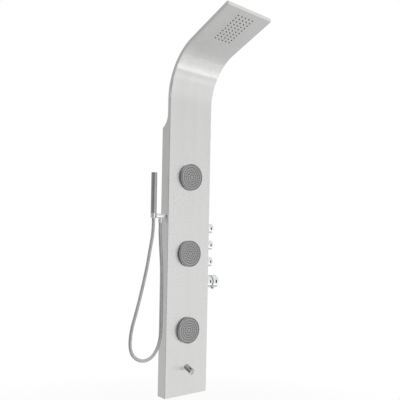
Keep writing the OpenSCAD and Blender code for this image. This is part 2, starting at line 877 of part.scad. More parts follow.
module holder_arm() {
    color(chrome_c) at_left(holder_h) difference() {
        union() {
            rod(stem_r, -stem_in, gasket_t);
            rod(rosette_r, gasket_t, gasket_t + rosette_t);
            rod(bar_r, gasket_t, cup_x);
            translate([-bar_r, 0, cup_x]) rotate([0, 90, 0]) cylinder(d = cup_d, h = bar_d);
            translate([0, 0, outlet_x]) rotate([0, -90, 0]) rod(nipple_r, 0, nipple_l);
        }
        rod(way_r, -stem_in - cut, outlet_x);
        translate([0, 0, outlet_x]) rotate([0, -90, 0]) rod(way_r, 0, nipple_l + cut);
        translate([-bar_r, 0, cup_x]) rotate([0, 90, 0]) cylinder(r1 = cup_low_r, r2 = cup_top_r, h = bar_d);
        block([-bar_r - cut, -cup_d, cup_x - hose_slot / 2], [bar_r + cut, 0, cup_x + hose_slot / 2]);
    }
}

washer_t = 1.5;
nut_wall = 0.7;
nut_top = 13;
nut_low = 28;
nut_band = 4;
nut_band_out = 0.9;

module at_outlet() {
    translate([-half_w - outlet_x, side_y, lvl(holder_h)]) children();
}

module outlet_nut() {
    color(chrome_c) at_outlet() difference() {
        union() {
            rod(nipple_r + nut_wall, -nut_low, -nut_top);
            rod(nipple_r + nut_wall + nut_band_out, -nipple_l - nut_band / 2, -nipple_l + nut_band / 2);
        }
        rod(nipple_r + fit_gap, -nipple_l - washer_t, cut - nut_top);
        rod(way_r, -nut_low - cut, -nut_top);
    }
}

module outlet_washer() {
    color(rubber_c) at_outlet() ring(nipple_r, way_r, -nipple_l - washer_t, -nipple_l);
}

tube_wall = 1.95;
collar_l = 8;
cap_l = 7;
cap_round = 1;
handset_r = handset_d / 2;
tube_in_r = handset_r - tube_wall;
window_w = 10;
window_gap = 0.1;
// Ends of the spray window as shares of the handset's length
window_shares = [0.62, 0.92];
spray_rows = 9;
spray_r = 0.9;
spray_out = 0.4;
plug_r = 6.9;
cone_over = 1.8;
cone_gap = 0.4;

module at_cup() {
    translate([-half_w - cup_x, side_y, lvl(holder_h) + bar_r]) children();
}

module spray_window(gap) {
    block([0, gap - window_w / 2, window_shares[0] * handset_l + gap],
        [handset_d, window_w / 2 - gap, window_shares[1] * handset_l - gap]);
}

module handset_tube() {
    color(chrome_c) at_cup() difference() {
        rod(handset_r, 0, handset_l - cap_l);
        rod(tube_in_r, collar_l, handset_l);
        rod(plug_r + fit_gap, -cut, handset_l);
        spray_window(0);
    }
}

module handset_nozzles() {
    window_l = (window_shares[1] - window_shares[0]) * handset_l;
    color(rubber_c) at_cup() {
        intersection() {
            ring(handset_r, tube_in_r, 0, handset_l);
            spray_window(window_gap);
        }
        for (row = [1 : spray_rows], side = [-1, 1]) {
            z = window_shares[0] * handset_l + row * window_l / (spray_rows + 1);
            translate([tube_in_r, side * window_w / 4, z]) rotate([0, 90, 0])
                rod(spray_r, 0, tube_wall + spray_out);
        }
    }
}

module handset_cap() {
    color(chrome_c) at_cup() {
        round_end(handset_r, handset_l - cap_l, handset_l, cap_round);
        ring(tube_in_r, tube_in_r - tube_wall, handset_l - 2 * cap_l, handset_l - cap_l);
    }
}

module hose_cone_nut() {
    color(chrome_c) at_cup() difference() {
        union() {
            translate([0, 0, -bar_d - cone_over])
                cylinder(r1 = cup_low_r - cone_gap - fit_gap, r2 = cup_top_r - cone_gap,
                    h = bar_d + cone_over);
            rod(plug_r, 0, collar_l);
        }
        rod(way_r, -bar_d - cone_over - cut, collar_l + cut);
    }
}

// Spout. Its tube points down and out of the front

spout_wall = 2.5;
mouth_share = 0.35;
aerator_t = 3;
aerator_in = 1;
aerator_hole_r = 1.6;
aerator_ring_share = 0.5;
spout_in_r = spout_d / 2 - spout_wall;

module along_spout() {
    at_front(spout_h) rotate([spout_a, 0, 0]) children();
}

module spout_body() {
    color(chrome_c) difference() {
        union() {
            intersection() {
                along_spout() rod(spout_d / 2, -spout_d / 2, spout_l);
                at_front(spout_h) rod(spout_l, gasket_t, 2 * spout_l);
            }
            at_front(spout_h) rod(stem_r, -spout_stem, gasket_t);
        }
        along_spout() rod(spout_in_r, mouth_share * spout_l, spout_l + cut);
        along_spout() rod(way_r, -way_r, spout_l);
        at_front(spout_h) rod(way_r, -spout_stem - cut, way_r);
    }
}

module spout_aerator() {
    color(steel_c) along_spout() difference() {
        rod(spout_in_r - fit_gap, spout_l - aerator_in - aerator_t, spout_l - aerator_in);
        rod(aerator_hole_r, 0, spout_l);
        for (turn = [60 : 60 : 360]) rotate([0, 0, turn]) translate([aerator_ring_share * spout_in_r, 0, 0])
            rod(aerator_hole_r, 0, spout_l);
    }
}

// Nuts and gaskets

fitting_nut_t = 6;
gasket_in = 0.5;

module fitting_nuts() {
    color(brass_c) {
        at_front(spout_h) ring(stem_r + stem_r / 2, stem_r + fit_gap, -sheet_t - fitting_nut_t, -sheet_t);
        at_left(holder_h) ring(stem_r + stem_r / 2, stem_r + fit_gap, -sheet_t - fitting_nut_t, -sheet_t);
    }
}

module panel_gaskets() {
    color(rubber_c) {
        for (i = [1 : 3]) at_jet(i) ring(flange_r, socket_r + fit_gap, 0, gasket_t);
        at_front(spout_h) ring(spout_d / 2 - gasket_in, stem_r + fit_gap, 0, gasket_t);
        at_left(holder_h) ring(rosette_r - gasket_in, stem_r + fit_gap, 0, gasket_t);
    }
}

// Shower hose: X and height of the points it hangs through, in the plane of the holder's axis
hose_route = [
    [-131, 729], [-131, 714], [-131, 690], [-128, 641], [-124, 591], [-120, 533], [-118, 449], [-118, 366],
    [-118, 303], [-120, 262], [-127, 227], [-141, 197], [-162, 175], [-189, 165], [-217, 168], [-242, 183],
    [-259, 209], [-264, 248], [-257, 300], [-240, 358], [-222, 422], [-206, 485], [-191, 550], [-179, 615],
    [-170, 664], [-166, 700], [-165, 731], [-165, 746]
];
hose_sides = 10;

// Point on the smooth curve between two route points
function hose_bend(a, b, c, d, t) = 0.5 * (2 * b + (c - a) * t + (2 * a - 5 * b + 4 * c - d) * t * t
    + (3 * b - a - 3 * c + d) * t * t * t);
function hose_at(i) = hose_route[max(0, min(len(hose_route) - 1, i))];
hose_line = [for (i = [0 : len(hose_route) - 2], t = [0, 0.5])
    hose_bend(hose_at(i - 1), hose_at(i), hose_at(i + 1), hose_at(i + 2), t), hose_at(len(hose_route) - 1)];
hose_last = len(hose_line) - 1;
function hose_dir(i) = i == 0 || i == hose_last
    ? (i == 0 ? [0, -1] : [0, 1])
    : (hose_line[i + 1] - hose_line[i - 1]) / norm(hose_line[i + 1] - hose_line[i - 1]);
function hose_ring(i) = [for (k = [0 : hose_sides - 1]) let (
    a = k * 360 / hose_sides, d = hose_dir(i), r = hose_d / 2)
    [hose_line[i][0] + r * cos(a) * d[1], side_y + r * sin(a), lvl(hose_line[i][1]) - r * cos(a) * d[0]]];
hose_points = [for (i = [0 : hose_last]) each hose_ring(i)];
hose_sleeve = [for (i = [0 : hose_last - 1], k = [0 : hose_sides - 1]) let (
    a = i * hose_sides + k, b = i * hose_sides + (k + 1) % hose_sides)
    each [[a, b, b + hose_sides], [a, b + hose_sides, a + hose_sides]]];
hose_cap_low = [for (k = [1 : hose_sides - 2]) [0, k + 1, k]];
hose_top = hose_last * hose_sides;
hose_cap_top = [for (k = [1 : hose_sides - 2]) [hose_top, hose_top + k, hose_top + k + 1]];

module shower_hose() {
    color(steel_c) polyhedron(hose_points, concat(hose_sleeve, hose_cap_low, hose_cap_top));
}

panel_shell();
hanger_rails();
wall_bracket(fix_h);  // wall_bracket_upper
wall_bracket(fix_h - fix_gap);  // wall_bracket_lower
rain_chamber();
rain_nozzle_mat();
rain_chamber_nuts();
jet_socket(1);  // jet_1_socket
jet_socket(2);  // jet_2_socket
jet_socket(3);  // jet_3_socket
jet_seat(1);  // jet_1_seat
jet_seat(2);  // jet_2_seat
jet_seat(3);  // jet_3_seat
jet_ball(1);  // jet_1_ball
jet_ball(2);  // jet_2_ball
jet_ball(3);  // jet_3_ball
jet_face(1);  // jet_1_face
jet_face(2);  // jet_2_face
jet_face(3);  // jet_3_face
jet_nozzles(1);  // jet_1_nozzles
jet_nozzles(2);  // jet_2_nozzles
jet_nozzles(3);  // jet_3_nozzles
panel_gaskets();
jet_nuts();
fitting_nuts();
valve_body();
valve_saddles();
valve_clamps();
headwork(knob_levels[0]);  // rain_headwork
headwork(knob_levels[1]);  // jets_headwork
headwork(knob_levels[2]);  // outlet_headwork
spindle(knob_levels[0]);  // rain_spindle
spindle(knob_levels[1]);  // jets_spindle
spindle(knob_levels[2]);  // outlet_spindle
knob(knob_levels[0]);  // rain_knob
knob(knob_levels[1]);  // jets_knob
knob(knob_levels[2]);  // outlet_knob
mixer_cartridge();
mixer_lock_nut();
mixer_sleeve();
mixer_spindle();
mixer_handle();
mixer_button();
inlet_nipples();
inlet_filters();
rain_pipe();
jets_pipe();
handset_pipe();
spout_pipe();
holder_arm();
outlet_nut();
outlet_washer();
handset_tube();
handset_nozzles();
handset_cap();
hose_cone_nut();
spout_body();
spout_aerator();
shower_hose();
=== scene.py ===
import math

import bmesh
import bpy
from mathutils import Matrix, Vector


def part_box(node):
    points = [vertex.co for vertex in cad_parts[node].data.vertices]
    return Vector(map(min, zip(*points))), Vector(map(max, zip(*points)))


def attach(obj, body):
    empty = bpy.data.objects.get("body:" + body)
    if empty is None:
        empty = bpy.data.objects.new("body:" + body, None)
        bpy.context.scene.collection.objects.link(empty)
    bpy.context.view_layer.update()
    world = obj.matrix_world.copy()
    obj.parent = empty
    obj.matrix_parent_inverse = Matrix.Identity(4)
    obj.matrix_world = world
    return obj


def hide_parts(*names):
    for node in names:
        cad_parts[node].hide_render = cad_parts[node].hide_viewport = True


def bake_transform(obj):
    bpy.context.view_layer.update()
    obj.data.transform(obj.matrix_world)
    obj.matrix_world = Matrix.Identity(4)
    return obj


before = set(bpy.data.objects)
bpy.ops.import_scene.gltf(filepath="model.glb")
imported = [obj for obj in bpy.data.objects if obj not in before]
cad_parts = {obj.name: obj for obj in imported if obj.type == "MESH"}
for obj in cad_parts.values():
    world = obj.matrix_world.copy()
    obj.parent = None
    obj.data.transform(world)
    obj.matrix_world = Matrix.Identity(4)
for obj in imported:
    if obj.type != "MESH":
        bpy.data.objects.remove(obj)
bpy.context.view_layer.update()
scene = bpy.context.scene
mm = 0.001
print("frame loaded:", len(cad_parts), "nodes")

# Camera, at the photograph's angle

camera = {
    "place": (-1.2791, -1.7408, -0.372),
    "turn": 38.44,      # degrees to the right of straight on
    "roll": 1.11,
    "lens": 44.66,
    "shift": 0.1196,
}


def addCamera():
    data = bpy.data.cameras.new("productCamera")
    data.lens = camera["lens"]
    data.shift_y = camera["shift"]
    data.clip_start = 0.05
    obj = bpy.data.objects.new("productCamera", data)
    scene.collection.objects.link(obj)
    turn, roll = math.radians(camera["turn"]), math.radians(camera["roll"])
    forward = Vector((math.sin(turn), math.cos(turn), 0))
    level = Vector((math.cos(turn), -math.sin(turn), 0))
    up = Vector((0, 0, 1))
    right = level * math.cos(roll) + up * math.sin(roll)
    top = up * math.cos(roll) - level * math.sin(roll)
    pose = Matrix((right, top, -forward)).transposed().to_4x4()
    pose.translation = camera["place"]
    obj.matrix_world = pose
    scene.camera = obj


addCamera()

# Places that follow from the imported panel

panelLow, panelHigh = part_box("panel_shell")
halfWidth = panelHigh.x
bottom = panelLow.z
wallY = panelHigh.y
frontY = -0.053
sideY = (frontY + wallY) / 2
bend = {"radius": 0.2, "angle": 72.5, "startZ": 0.244}


def axes(x, y, z, origin):      # a placing matrix from the directions of its three axes
    pose = Matrix((Vector(x), Vector(y), Vector(z))).transposed().to_4x4()
    pose.translation = Vector(origin)
    return pose


def middle(node):
    low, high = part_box(node)
    return (low + high) / 2


def onRight(node):      # z out of the right side, x down
    return axes((0, 0, -1), (0, 1, 0), (1, 0, 0), (halfWidth, sideY, middle(node).z))


def onLeft(height):     # z out of the left side, x up
    return axes((0, 0, 1), (0, 1, 0), (-1, 0, 0), (-halfWidth, sideY, height))


def upright(x, z):      # beside the panel, with the room's own axes
    return Matrix.Translation((x, sideY, z))


def onFront(height):    # z out of the front, y up
    return axes((1, 0, 0), (0, 0, 1), (0, -1, 0), (0, frontY, height))


def onArm():            # x from the underside to the back, y along the arm
    turn = math.radians(bend["angle"])
    inward = Vector((0, math.cos(turn), math.sin(turn)))
    along = Vector((0, -math.sin(turn), math.cos(turn)))
    centre = Vector((0, frontY - bend["radius"], bend["startZ"]))
    return axes(inward, along, (1, 0, 0), centre + inward * bend["radius"])


# Mesh tools


# A finished mesh as an object at the origin, smooth but for edges sharper than this angle
def keep(name, mesh, sharp=35):
    for poly in mesh.polygons:
        poly.use_smooth = True
    mesh.set_sharp_from_angle(angle=math.radians(sharp))
    obj = bpy.data.objects.new(name, mesh)
    scene.collection.objects.link(obj)
    return obj


def released(work, name):
    mesh = bpy.data.meshes.new(name)
    work.to_mesh(mesh)
    work.free()
    return mesh


# Outline points (radius, height) or (radius, height, fillet), with the fillets drawn as arcs
def rounded(corners, steps=5):
    points = []
    for i, corner in enumerate(corners):
        here = Vector(corner[:2])
        if len(corner) == 2 or i in (0, len(corners) - 1):
            points.append(here)
            continue
        before, after = Vector(corners[i - 1][:2]), Vector(corners[i + 1][:2])
        a, b = (before - here).normalized(), (after - here).normalized()
        half = a.angle(b) / 2
        back = corner[2] / math.tan(half)
        start, end = here + a * back, here + b * back
        centre = here + (a + b).normalized() * (corner[2] / math.sin(half))
        for k in range(steps + 1):
            spoke = (start - centre).lerp(end - centre, k / steps)
            points.append(centre + spoke.normalized() * corner[2])
    return points


# Mesh of revolution about the local Z axis; the outline runs from axis to axis, or is a closed ring
def turned(corners, place, around=72, steps=5):
    points = rounded(corners, steps)
    onAxis = points[0].x == 0
    work = bmesh.new()
    rings = []
    for point in points:
        if point.x == 0:
            rings.append([work.verts.new(Vector((0, 0, point.y)) * mm)])
            continue
        ring = []
        for k in range(around):
            turn = 2 * math.pi * k / around
            spot = Vector((point.x * math.cos(turn), point.x * math.sin(turn), point.y))
            ring.append(work.verts.new(spot * mm))
        rings.append(ring)
    pairs = list(zip(rings, rings[1:]))
    if not onAxis:
        pairs.append((rings[-1], rings[0]))
    for low, high in pairs:
        for k in range(around):
            n = (k + 1) % around
            if len(low) == 1:
                work.faces.new((low[0], high[k], high[n]))
            elif len(high) == 1:
                work.faces.new((low[k], low[n], high[0]))
            else:
                work.faces.new((low[k], low[n], high[n], high[k]))
    bmesh.ops.recalc_face_normals(work, faces=work.faces)
    bmesh.ops.transform(work, matrix=place, verts=work.verts)
    return released(work, "turned")


def brick(low, high, place):
    work = bmesh.new()
    bmesh.ops.create_cube(work, size=1)
    size = Vector(high) - Vector(low)
    centre = (Vector(high) + Vector(low)) / 2
    for vert in work.verts:
        vert.co = Vector((vert.co.x * size.x, vert.co.y * size.y, vert.co.z * size.z)) + centre
    bmesh.ops.transform(work, matrix=place @ Matrix.Scale(mm, 4), verts=work.verts)
    return released(work, "brick")


def merged(meshes):
    work = bmesh.new()
    for mesh in meshes:
        work.from_mesh(mesh)
    return released(work, "merged")


def finished(obj):      # the object's evaluated mesh, with the object itself removed
    graph = bpy.context.evaluated_depsgraph_get()
    mesh = bpy.data.meshes.new_from_object(obj.evaluated_get(graph))
    bpy.data.objects.remove(obj)
    return mesh


def joined(base, others, operation):        # boolean of one mesh with several
    for other in others:
        body = bpy.data.objects.new("body", base)
        tool = bpy.data.objects.new("tool", other)
        for obj in (body, tool):
            scene.collection.objects.link(obj)
        step = body.modifiers.new("step", "BOOLEAN")
        step.operation = operation
        step.object = tool
        step.solver = "EXACT"
        base = finished(body)
        bpy.data.objects.remove(tool)
    return base


# Shader groups


def newGroup(name, inputs, outputs):
    group = bpy.data.node_groups.new(name, "ShaderNodeTree")
    for label, kind, value in inputs:
        socket = group.interface.new_socket(name=label, in_out="INPUT", socket_type=kind)
        if value is not None:
            socket.default_value = value
    for label, kind in outputs:
        group.interface.new_socket(name=label, in_out="OUTPUT", socket_type=kind)
    return group, group.nodes.new("NodeGroupInput"), group.nodes.new("NodeGroupOutput")


# A node with attributes set by name, and inputs set or linked by socket name or number
def put(tree, kind, links=None, **values):
    node = tree.nodes.new(kind)
    for key, value in values.items():
        setattr(node, key, value)
    for socket, source in (links or {}).items():
        target = node.inputs[socket]
        if isinstance(source, bpy.types.NodeSocket):
            tree.links.new(source, target)
        else:
            target.default_value = source
    return node


def calc(tree, operation, a, b=0.0, c=0.0, clamp=False):
    links = {0: a, 1: b}
    if operation == "MULTIPLY_ADD":
        links[2] = c
    return put(tree, "ShaderNodeMath", links, operation=operation, use_clamp=clamp).outputs[0]


def vec(tree, operation, a, b=(0, 0, 0), scale=None):
    links = {0: a}
    if operation == "SCALE":
        links["Scale"] = scale
    elif operation != "LENGTH":
        links[1] = b
    node = put(tree, "ShaderNodeVectorMath", links, operation=operation)
    return node.outputs["Value" if operation in ("LENGTH", "DOT_PRODUCT") else "Vector"]


def spread(tree, value, low, high, toLow=0.0, toHigh=1.0):
    return put(tree, "ShaderNodeMapRange", {"Value": value, "From Min": low, "From Max": high,
                                            "To Min": toLow, "To Max": toHigh}).outputs[0]


def noise(tree, place, scale, detail, **more):
    links = {"Vector": place, "Scale": scale, "Detail": detail, **more}
    return put(tree, "ShaderNodeTexNoise", links).outputs["Fac"]


# A place on the sheet, scaled apart along its brush lines
def sheetPoint(tree, across, depth, along, scale, length):
    return put(tree, "ShaderNodeCombineXYZ", {
        "X": calc(tree, "MULTIPLY", across, scale),
        "Y": calc(tree, "MULTIPLY", depth, scale),
        "Z": calc(tree, "MULTIPLY", along, length)}).outputs[0]


# Brush lines that follow the sheet up the panel, round the bend and along the arm
def makeBrushGroup():
    group, start, end = newGroup(
        "brushLines",
        [("Position", "NodeSocketVector", None), ("Line Scale", "NodeSocketFloat", 900.0),
         ("Line Length", "NodeSocketFloat", 4.0), ("Band Scale", "NodeSocketFloat", 22.0),
         ("Band Length", "NodeSocketFloat", 0.6)],
        [("Lines", "NodeSocketFloat"), ("Bands", "NodeSocketFloat")])
    turn = math.radians(bend["angle"])
    centre = (0, frontY - bend["radius"], bend["startZ"])
    split = put(group, "ShaderNodeSeparateXYZ", {0: start.outputs["Position"]})
    flat = put(group, "ShaderNodeCombineXYZ", {"Y": split.outputs["Y"], "Z": split.outputs["Z"]})
    local = vec(group, "SUBTRACT", flat.outputs[0], centre)
    wellOutside = 10        # metres
    raised = vec(group, "MAXIMUM", local, (0, -wellOutside, 0))     # flat below the bend
    tangent = (0, -math.sin(turn), math.cos(turn))
    over = calc(group, "MAXIMUM", vec(group, "DOT_PRODUCT", raised, tangent), 0.0)
    foot = vec(group, "SUBTRACT", raised, vec(group, "SCALE", tangent, scale=over))
    depth = vec(group, "LENGTH", foot)
    along = calc(group, "SUBTRACT", split.outputs["Z"], split.outputs["Y"])
    across = split.outputs["X"]
    fine = sheetPoint(group, across, depth, along, start.outputs["Line Scale"], start.outputs["Line Length"])
    wide = sheetPoint(group, across, depth, along, start.outputs["Band Scale"], start.outputs["Band Length"])
    group.links.new(noise(group, fine, 1.0, 4.0, Roughness=0.6), end.inputs["Lines"])
    group.links.new(noise(group, wide, 1.0, 2.0), end.inputs["Bands"])
    return group


handling = {
    "marks": (0.42, 0.72),      # the noise over which marks come up
    "spotsNear": (0.50, 0.62),  # and over which spots do
    "spotEdge": (0.10, 0.22),   # distance in a cell over which a spot fades
}


def makeHandlingGroup():        # faint wiped marks and water spots, as masks
    group, start, end = newGroup(
        "handlingMarks",
        [("Position", "NodeSocketVector", None), ("Scale", "NodeSocketFloat", 30.0),
         ("Spot Scale", "NodeSocketFloat", 160.0)],
        [("Marks", "NodeSocketFloat"), ("Spots", "NodeSocketFloat")])
    position = start.outputs["Position"]
    wiped = noise(group, position, start.outputs["Scale"], 5.0, Roughness=0.55, Distortion=0.8)
    marks = spread(group, wiped, *handling["marks"])
    cells = put(group, "ShaderNodeTexVoronoi", {"Vector": position, "Scale": start.outputs["Spot Scale"]})
    spots = spread(group, cells.outputs["Distance"], *handling["spotEdge"], 1.0, 0.0)
    rare = spread(group, wiped, *handling["spotsNear"])
    group.links.new(marks, end.inputs["Marks"])
    group.links.new(calc(group, "MULTIPLY", spots, rare), end.inputs["Spots"])
    return group


def makeGrainGroup():       # fine grain of a cast, milled or moulded face
    group, start, end = newGroup(
        "surfaceGrain",
        [("Position", "NodeSocketVector", None), ("Scale", "NodeSocketFloat", 1500.0),
         ("Cloud Scale", "NodeSocketFloat", 60.0)],
        [("Tone", "NodeSocketFloat"), ("Height", "NodeSocketFloat")])
    position = start.outputs["Position"]
    group.links.new(noise(group, position, start.outputs["Cloud Scale"], 4.0), end.inputs["Tone"])
    group.links.new(noise(group, position, start.outputs["Scale"], 3.0), end.inputs["Height"])
    return group


groups = {"brush": makeBrushGroup(), "handling": makeHandlingGroup(), "grain": makeGrainGroup()}


def newMaterial(name):
    material = bpy.data.materials.new(name)
    material.use_nodes = True
    tree = material.node_tree
    shader = tree.nodes["Principled BSDF"]
    position = tree.nodes.new("ShaderNodeTexCoord").outputs["Object"]
    return material, tree, shader, position


def useGroup(tree, key, position, **values):
    node = tree.nodes.new("ShaderNodeGroup")
    node.node_tree = groups[key]
    tree.links.new(position, node.inputs["Position"])
    for label, value in values.items():
        node.inputs[label].default_value = value
    return node


def useGrain(tree, position, look):
    return useGroup(tree, "grain", position, **{"Scale": look["grain"], "Cloud Scale": look["cloud"]})


def colourMix(tree, share, first, second):
    return put(tree, "ShaderNodeMix", {0: share, 6: first, 7: second}, data_type="RGBA").outputs[2]


def toneMix(tree, share, dark, light):
    return colourMix(tree, share, (*dark, 1), (*light, 1))


toneSpan = (0.35, 0.65)     # the noise that runs from the dark tone to the light one
roughSpan = (0.3, 0.7)      # and from the smoothest places to the roughest


def tint(tree, shader, value, look):
    tone = toneMix(tree, spread(tree, value, *toneSpan), look["dark"], look["light"])
    tree.links.new(tone, shader.inputs["Base Color"])


def unevenness(tree, value, look):
    return spread(tree, value, *roughSpan, look["smooth"], look["rough"])


def relief(tree, shader, height, depth):
    bump = put(tree, "ShaderNodeBump", {"Height": height, "Distance": depth * mm, "Strength": 1.0})
    tree.links.new(bump.outputs[0], shader.inputs["Normal"])


def brushedSteel(name, look):
    material, tree, shader, position = newMaterial(name)
    brush = useGroup(tree, "brush", position, **{"Line Scale": look["lineScale"]})
    marks = useGroup(tree, "handling", position, **{"Scale": look["markScale"]})
    lines = brush.outputs["Lines"]
    mixed = calc(tree, "ADD", calc(tree, "MULTIPLY", lines, look["lineShare"]),
                 calc(tree, "MULTIPLY", brush.outputs["Bands"], 1 - look["lineShare"]))
    tint(tree, shader, mixed, look)
    worn = calc(tree, "MULTIPLY_ADD", marks.outputs["Marks"], look["wear"], unevenness(tree, lines, look))
    tree.links.new(worn, shader.inputs["Roughness"])
    shader.inputs["Metallic"].default_value = 1.0
    shader.inputs["Anisotropic"].default_value = look["stretch"]
    shader.inputs["Anisotropic Rotation"].default_value = look["smearTurn"]
    tangent = put(tree, "ShaderNodeCombineXYZ", dict(zip("XYZ", look["tangent"])))
    tree.links.new(tangent.outputs[0], shader.inputs["Tangent"])
    relief(tree, shader, lines, look["relief"])
    return material


def polishedMetal(name, look):
    material, tree, shader, position = newMaterial(name)
    marks = useGroup(tree, "handling", position, **{"Scale": 45.0, "Spot Scale": 420.0})
    grain = useGrain(tree, position, look)
    tint(tree, shader, grain.outputs["Tone"], look)
    rough = unevenness(tree, grain.outputs["Tone"], look)
    worn = calc(tree, "MULTIPLY_ADD", marks.outputs["Marks"], look["wear"], rough)
    spotted = calc(tree, "MULTIPLY_ADD", marks.outputs["Spots"], look["wear"], worn)
    tree.links.new(spotted, shader.inputs["Roughness"])
    shader.inputs["Metallic"].default_value = 1.0
    relief(tree, shader, grain.outputs["Height"], look["relief"])
    return material


# A spun cover: in its UV map, U is the radius as a share of the cover's, and V is 1 on its side and back,
# which are painted in a paler tone as painted light against the shade there
def spunCover(name, look):
    material, tree, shader, position = newMaterial(name)
    mapped = put(tree, "ShaderNodeSeparateXYZ", {0: tree.nodes["Texture Coordinate"].outputs["UV"]})
    radius, side = mapped.outputs["X"], mapped.outputs["Y"]
    rim = spread(tree, radius, look["rimFrom"], look["rimFrom"] + look["rimWidth"])
    turning = put(tree, "ShaderNodeCombineXYZ", {"X": calc(tree, "MULTIPLY", radius, look["turning"])})
    lines = noise(tree, turning.outputs[0], 1.0, 2.0)
    grain = useGrain(tree, position, look)
    wave = calc(tree, "COSINE", calc(tree, "MULTIPLY", radius, 2 * math.pi / look["ringPitch"]))
    between = calc(tree, "MULTIPLY_ADD", wave, -0.5, 0.5)
    tone = spread(tree, calc(tree, "MULTIPLY_ADD", lines, look["lineShare"], between), *look["ringSpan"])
    face = toneMix(tree, tone, look["dark"], look["light"])
    edge = toneMix(tree, tone, look["rimDark"], look["rimLight"])
    # the side and back are painted paler than the face: painted light that lifts the shade beside and behind
    # the cover
    paintedLightFlank = toneMix(tree, grain.outputs["Tone"], look["paintedLightSideDark"], look["paintedLightSideLight"])
    whole = colourMix(tree, side, colourMix(tree, rim, face, edge), paintedLightFlank)
    tree.links.new(whole, shader.inputs["Base Color"])
    polish = spread(tree, rim, 0.0, 1.0, 1.0, look["rimPolish"])
    rough = calc(tree, "MULTIPLY", unevenness(tree, grain.outputs["Tone"], look), polish)
    tree.links.new(rough, shader.inputs["Roughness"])
    shader.inputs["Metallic"].default_value = 1.0
    relief(tree, shader, lines, look["relief"])
    return material


def mouldedSurface(name, look):
    material, tree, shader, position = newMaterial(name)
    grain = useGrain(tree, position, look)
    tint(tree, shader, grain.outputs["Tone"], look)
    tree.links.new(unevenness(tree, grain.outputs["Height"], look), shader.inputs["Roughness"])
    shader.inputs["Specular IOR Level"].default_value = look["gloss"]
    relief(tree, shader, grain.outputs["Height"], look["relief"])
    return material


metals = {
    "chromePlate": {"dark": (0.80, 0.81, 0.83), "light": (0.86, 0.87, 0.88), "smooth": 0.012, "rough": 0.028,
                    "wear": 0.02, "grain": 900.0, "cloud": 40.0, "relief": 0.0001},
    "satinPlate": {"dark": (0.42, 0.425, 0.43), "light": (0.48, 0.485, 0.49), "smooth": 0.06, "rough": 0.12,
                   "wear": 0.05, "grain": 900.0, "cloud": 40.0, "relief": 0.0005},
    "milledSteel": {"dark": (0.50, 0.50, 0.50), "light": (0.60, 0.60, 0.60), "smooth": 0.28, "rough": 0.42,
                    "wear": 0.08, "grain": 2200.0, "cloud": 35.0, "relief": 0.003},
    "rawBrass": {"dark": (0.52, 0.38, 0.16), "light": (0.72, 0.56, 0.28), "smooth": 0.26, "rough": 0.44,
                 "wear": 0.10, "grain": 1800.0, "cloud": 28.0, "relief": 0.004},
    "copperTube": {"dark": (0.56, 0.27, 0.16), "light": (0.80, 0.47, 0.33), "smooth": 0.18, "rough": 0.36,
                   "wear": 0.12, "grain": 1200.0, "cloud": 22.0, "relief": 0.002},
    "hoseWire": {"dark": (0.50, 0.50, 0.51), "light": (0.58, 0.58, 0.59), "smooth": 0.30, "rough": 0.38,
                 "wear": 0.06, "grain": 1500.0, "cloud": 50.0, "relief": 0.001},
}
moulded = {
    "greySilicone": {"dark": (0.055, 0.057, 0.06), "light": (0.085, 0.087, 0.09), "smooth": 0.48,
                     "rough": 0.62, "gloss": 0.35, "grain": 2200.0, "cloud": 120.0, "relief": 0.004},
    "gasketRubber": {"dark": (0.018, 0.018, 0.019), "light": (0.035, 0.035, 0.036), "smooth": 0.60,
                     "rough": 0.78, "gloss": 0.3, "grain": 2600.0, "cloud": 90.0, "relief": 0.006},
    "greyPlastic": {"dark": (0.10, 0.105, 0.11), "light": (0.145, 0.15, 0.155), "smooth": 0.38,
                    "rough": 0.52, "gloss": 0.45, "grain": 3000.0, "cloud": 70.0, "relief": 0.004},
    "whitePlastic": {"dark": (0.72, 0.72, 0.69), "light": (0.80, 0.80, 0.77), "smooth": 0.30,
                     "rough": 0.42, "gloss": 0.5, "grain": 3000.0, "cloud": 70.0, "relief": 0.002},
    "buttonPlastic": {"dark": (0.16, 0.16, 0.165), "light": (0.21, 0.21, 0.215), "smooth": 0.28,
                      "rough": 0.38, "gloss": 0.5, "grain": 3200.0, "cloud": 80.0, "relief": 0.002},
}
materials = {name: polishedMetal(name, look) for name, look in metals.items()}
materials.update({name: mouldedSurface(name, look) for name, look in moulded.items()})
materials["brushedSheet"] = brushedSteel("brushedSheet", {
    "lineScale": 1100.0, "lineShare": 0.55, "markScale": 9.0, "dark": (0.76, 0.76, 0.755),
    "light": (0.82, 0.82, 0.815), "smooth": 0.20, "rough": 0.25, "wear": 0.03, "relief": 0.0005,
    "stretch": 1.0, "smearTurn": 0.25,      # of a full turn: reflections smear across the lines
    "tangent": (0.0, -0.35, 1.0)})
materials["jetCover"] = spunCover("jetCover", {
    "dark": (0.27, 0.27, 0.275), "light": (0.43, 0.43, 0.435),
    "rimDark": (0.27, 0.27, 0.275), "rimLight": (0.33, 0.33, 0.335),
    # paler side and back: painted light against the shade beside and behind the cover
    "paintedLightSideDark": (0.66, 0.66, 0.665), "paintedLightSideLight": (0.72, 0.72, 0.725),
    "rimFrom": 0.93, "rimWidth": 0.015, "rimPolish": 0.8, "smooth": 0.28, "rough": 0.36,
    "ringPitch": 0.182, "ringSpan": (0.2, 1.1), "turning": 260.0, "lineShare": 0.35,
    "grain": 2600.0, "cloud": 90.0, "relief": 0.004})
slotFinish = {
    "stainless_sheet": "brushedSheet", "stainless_fittings": "milledSteel", "chrome": "chromePlate",
    "jet_cover": "jetCover", "brass": "rawBrass", "copper_pipe": "copperTube", "silicone": "greySilicone",
    "gasket_rubber": "gasketRubber", "moulded_plastic": "greyPlastic", "white_plastic": "whitePlastic",
    "button_plastic": "buttonPlastic", "hose_cover": "hoseWire",
}

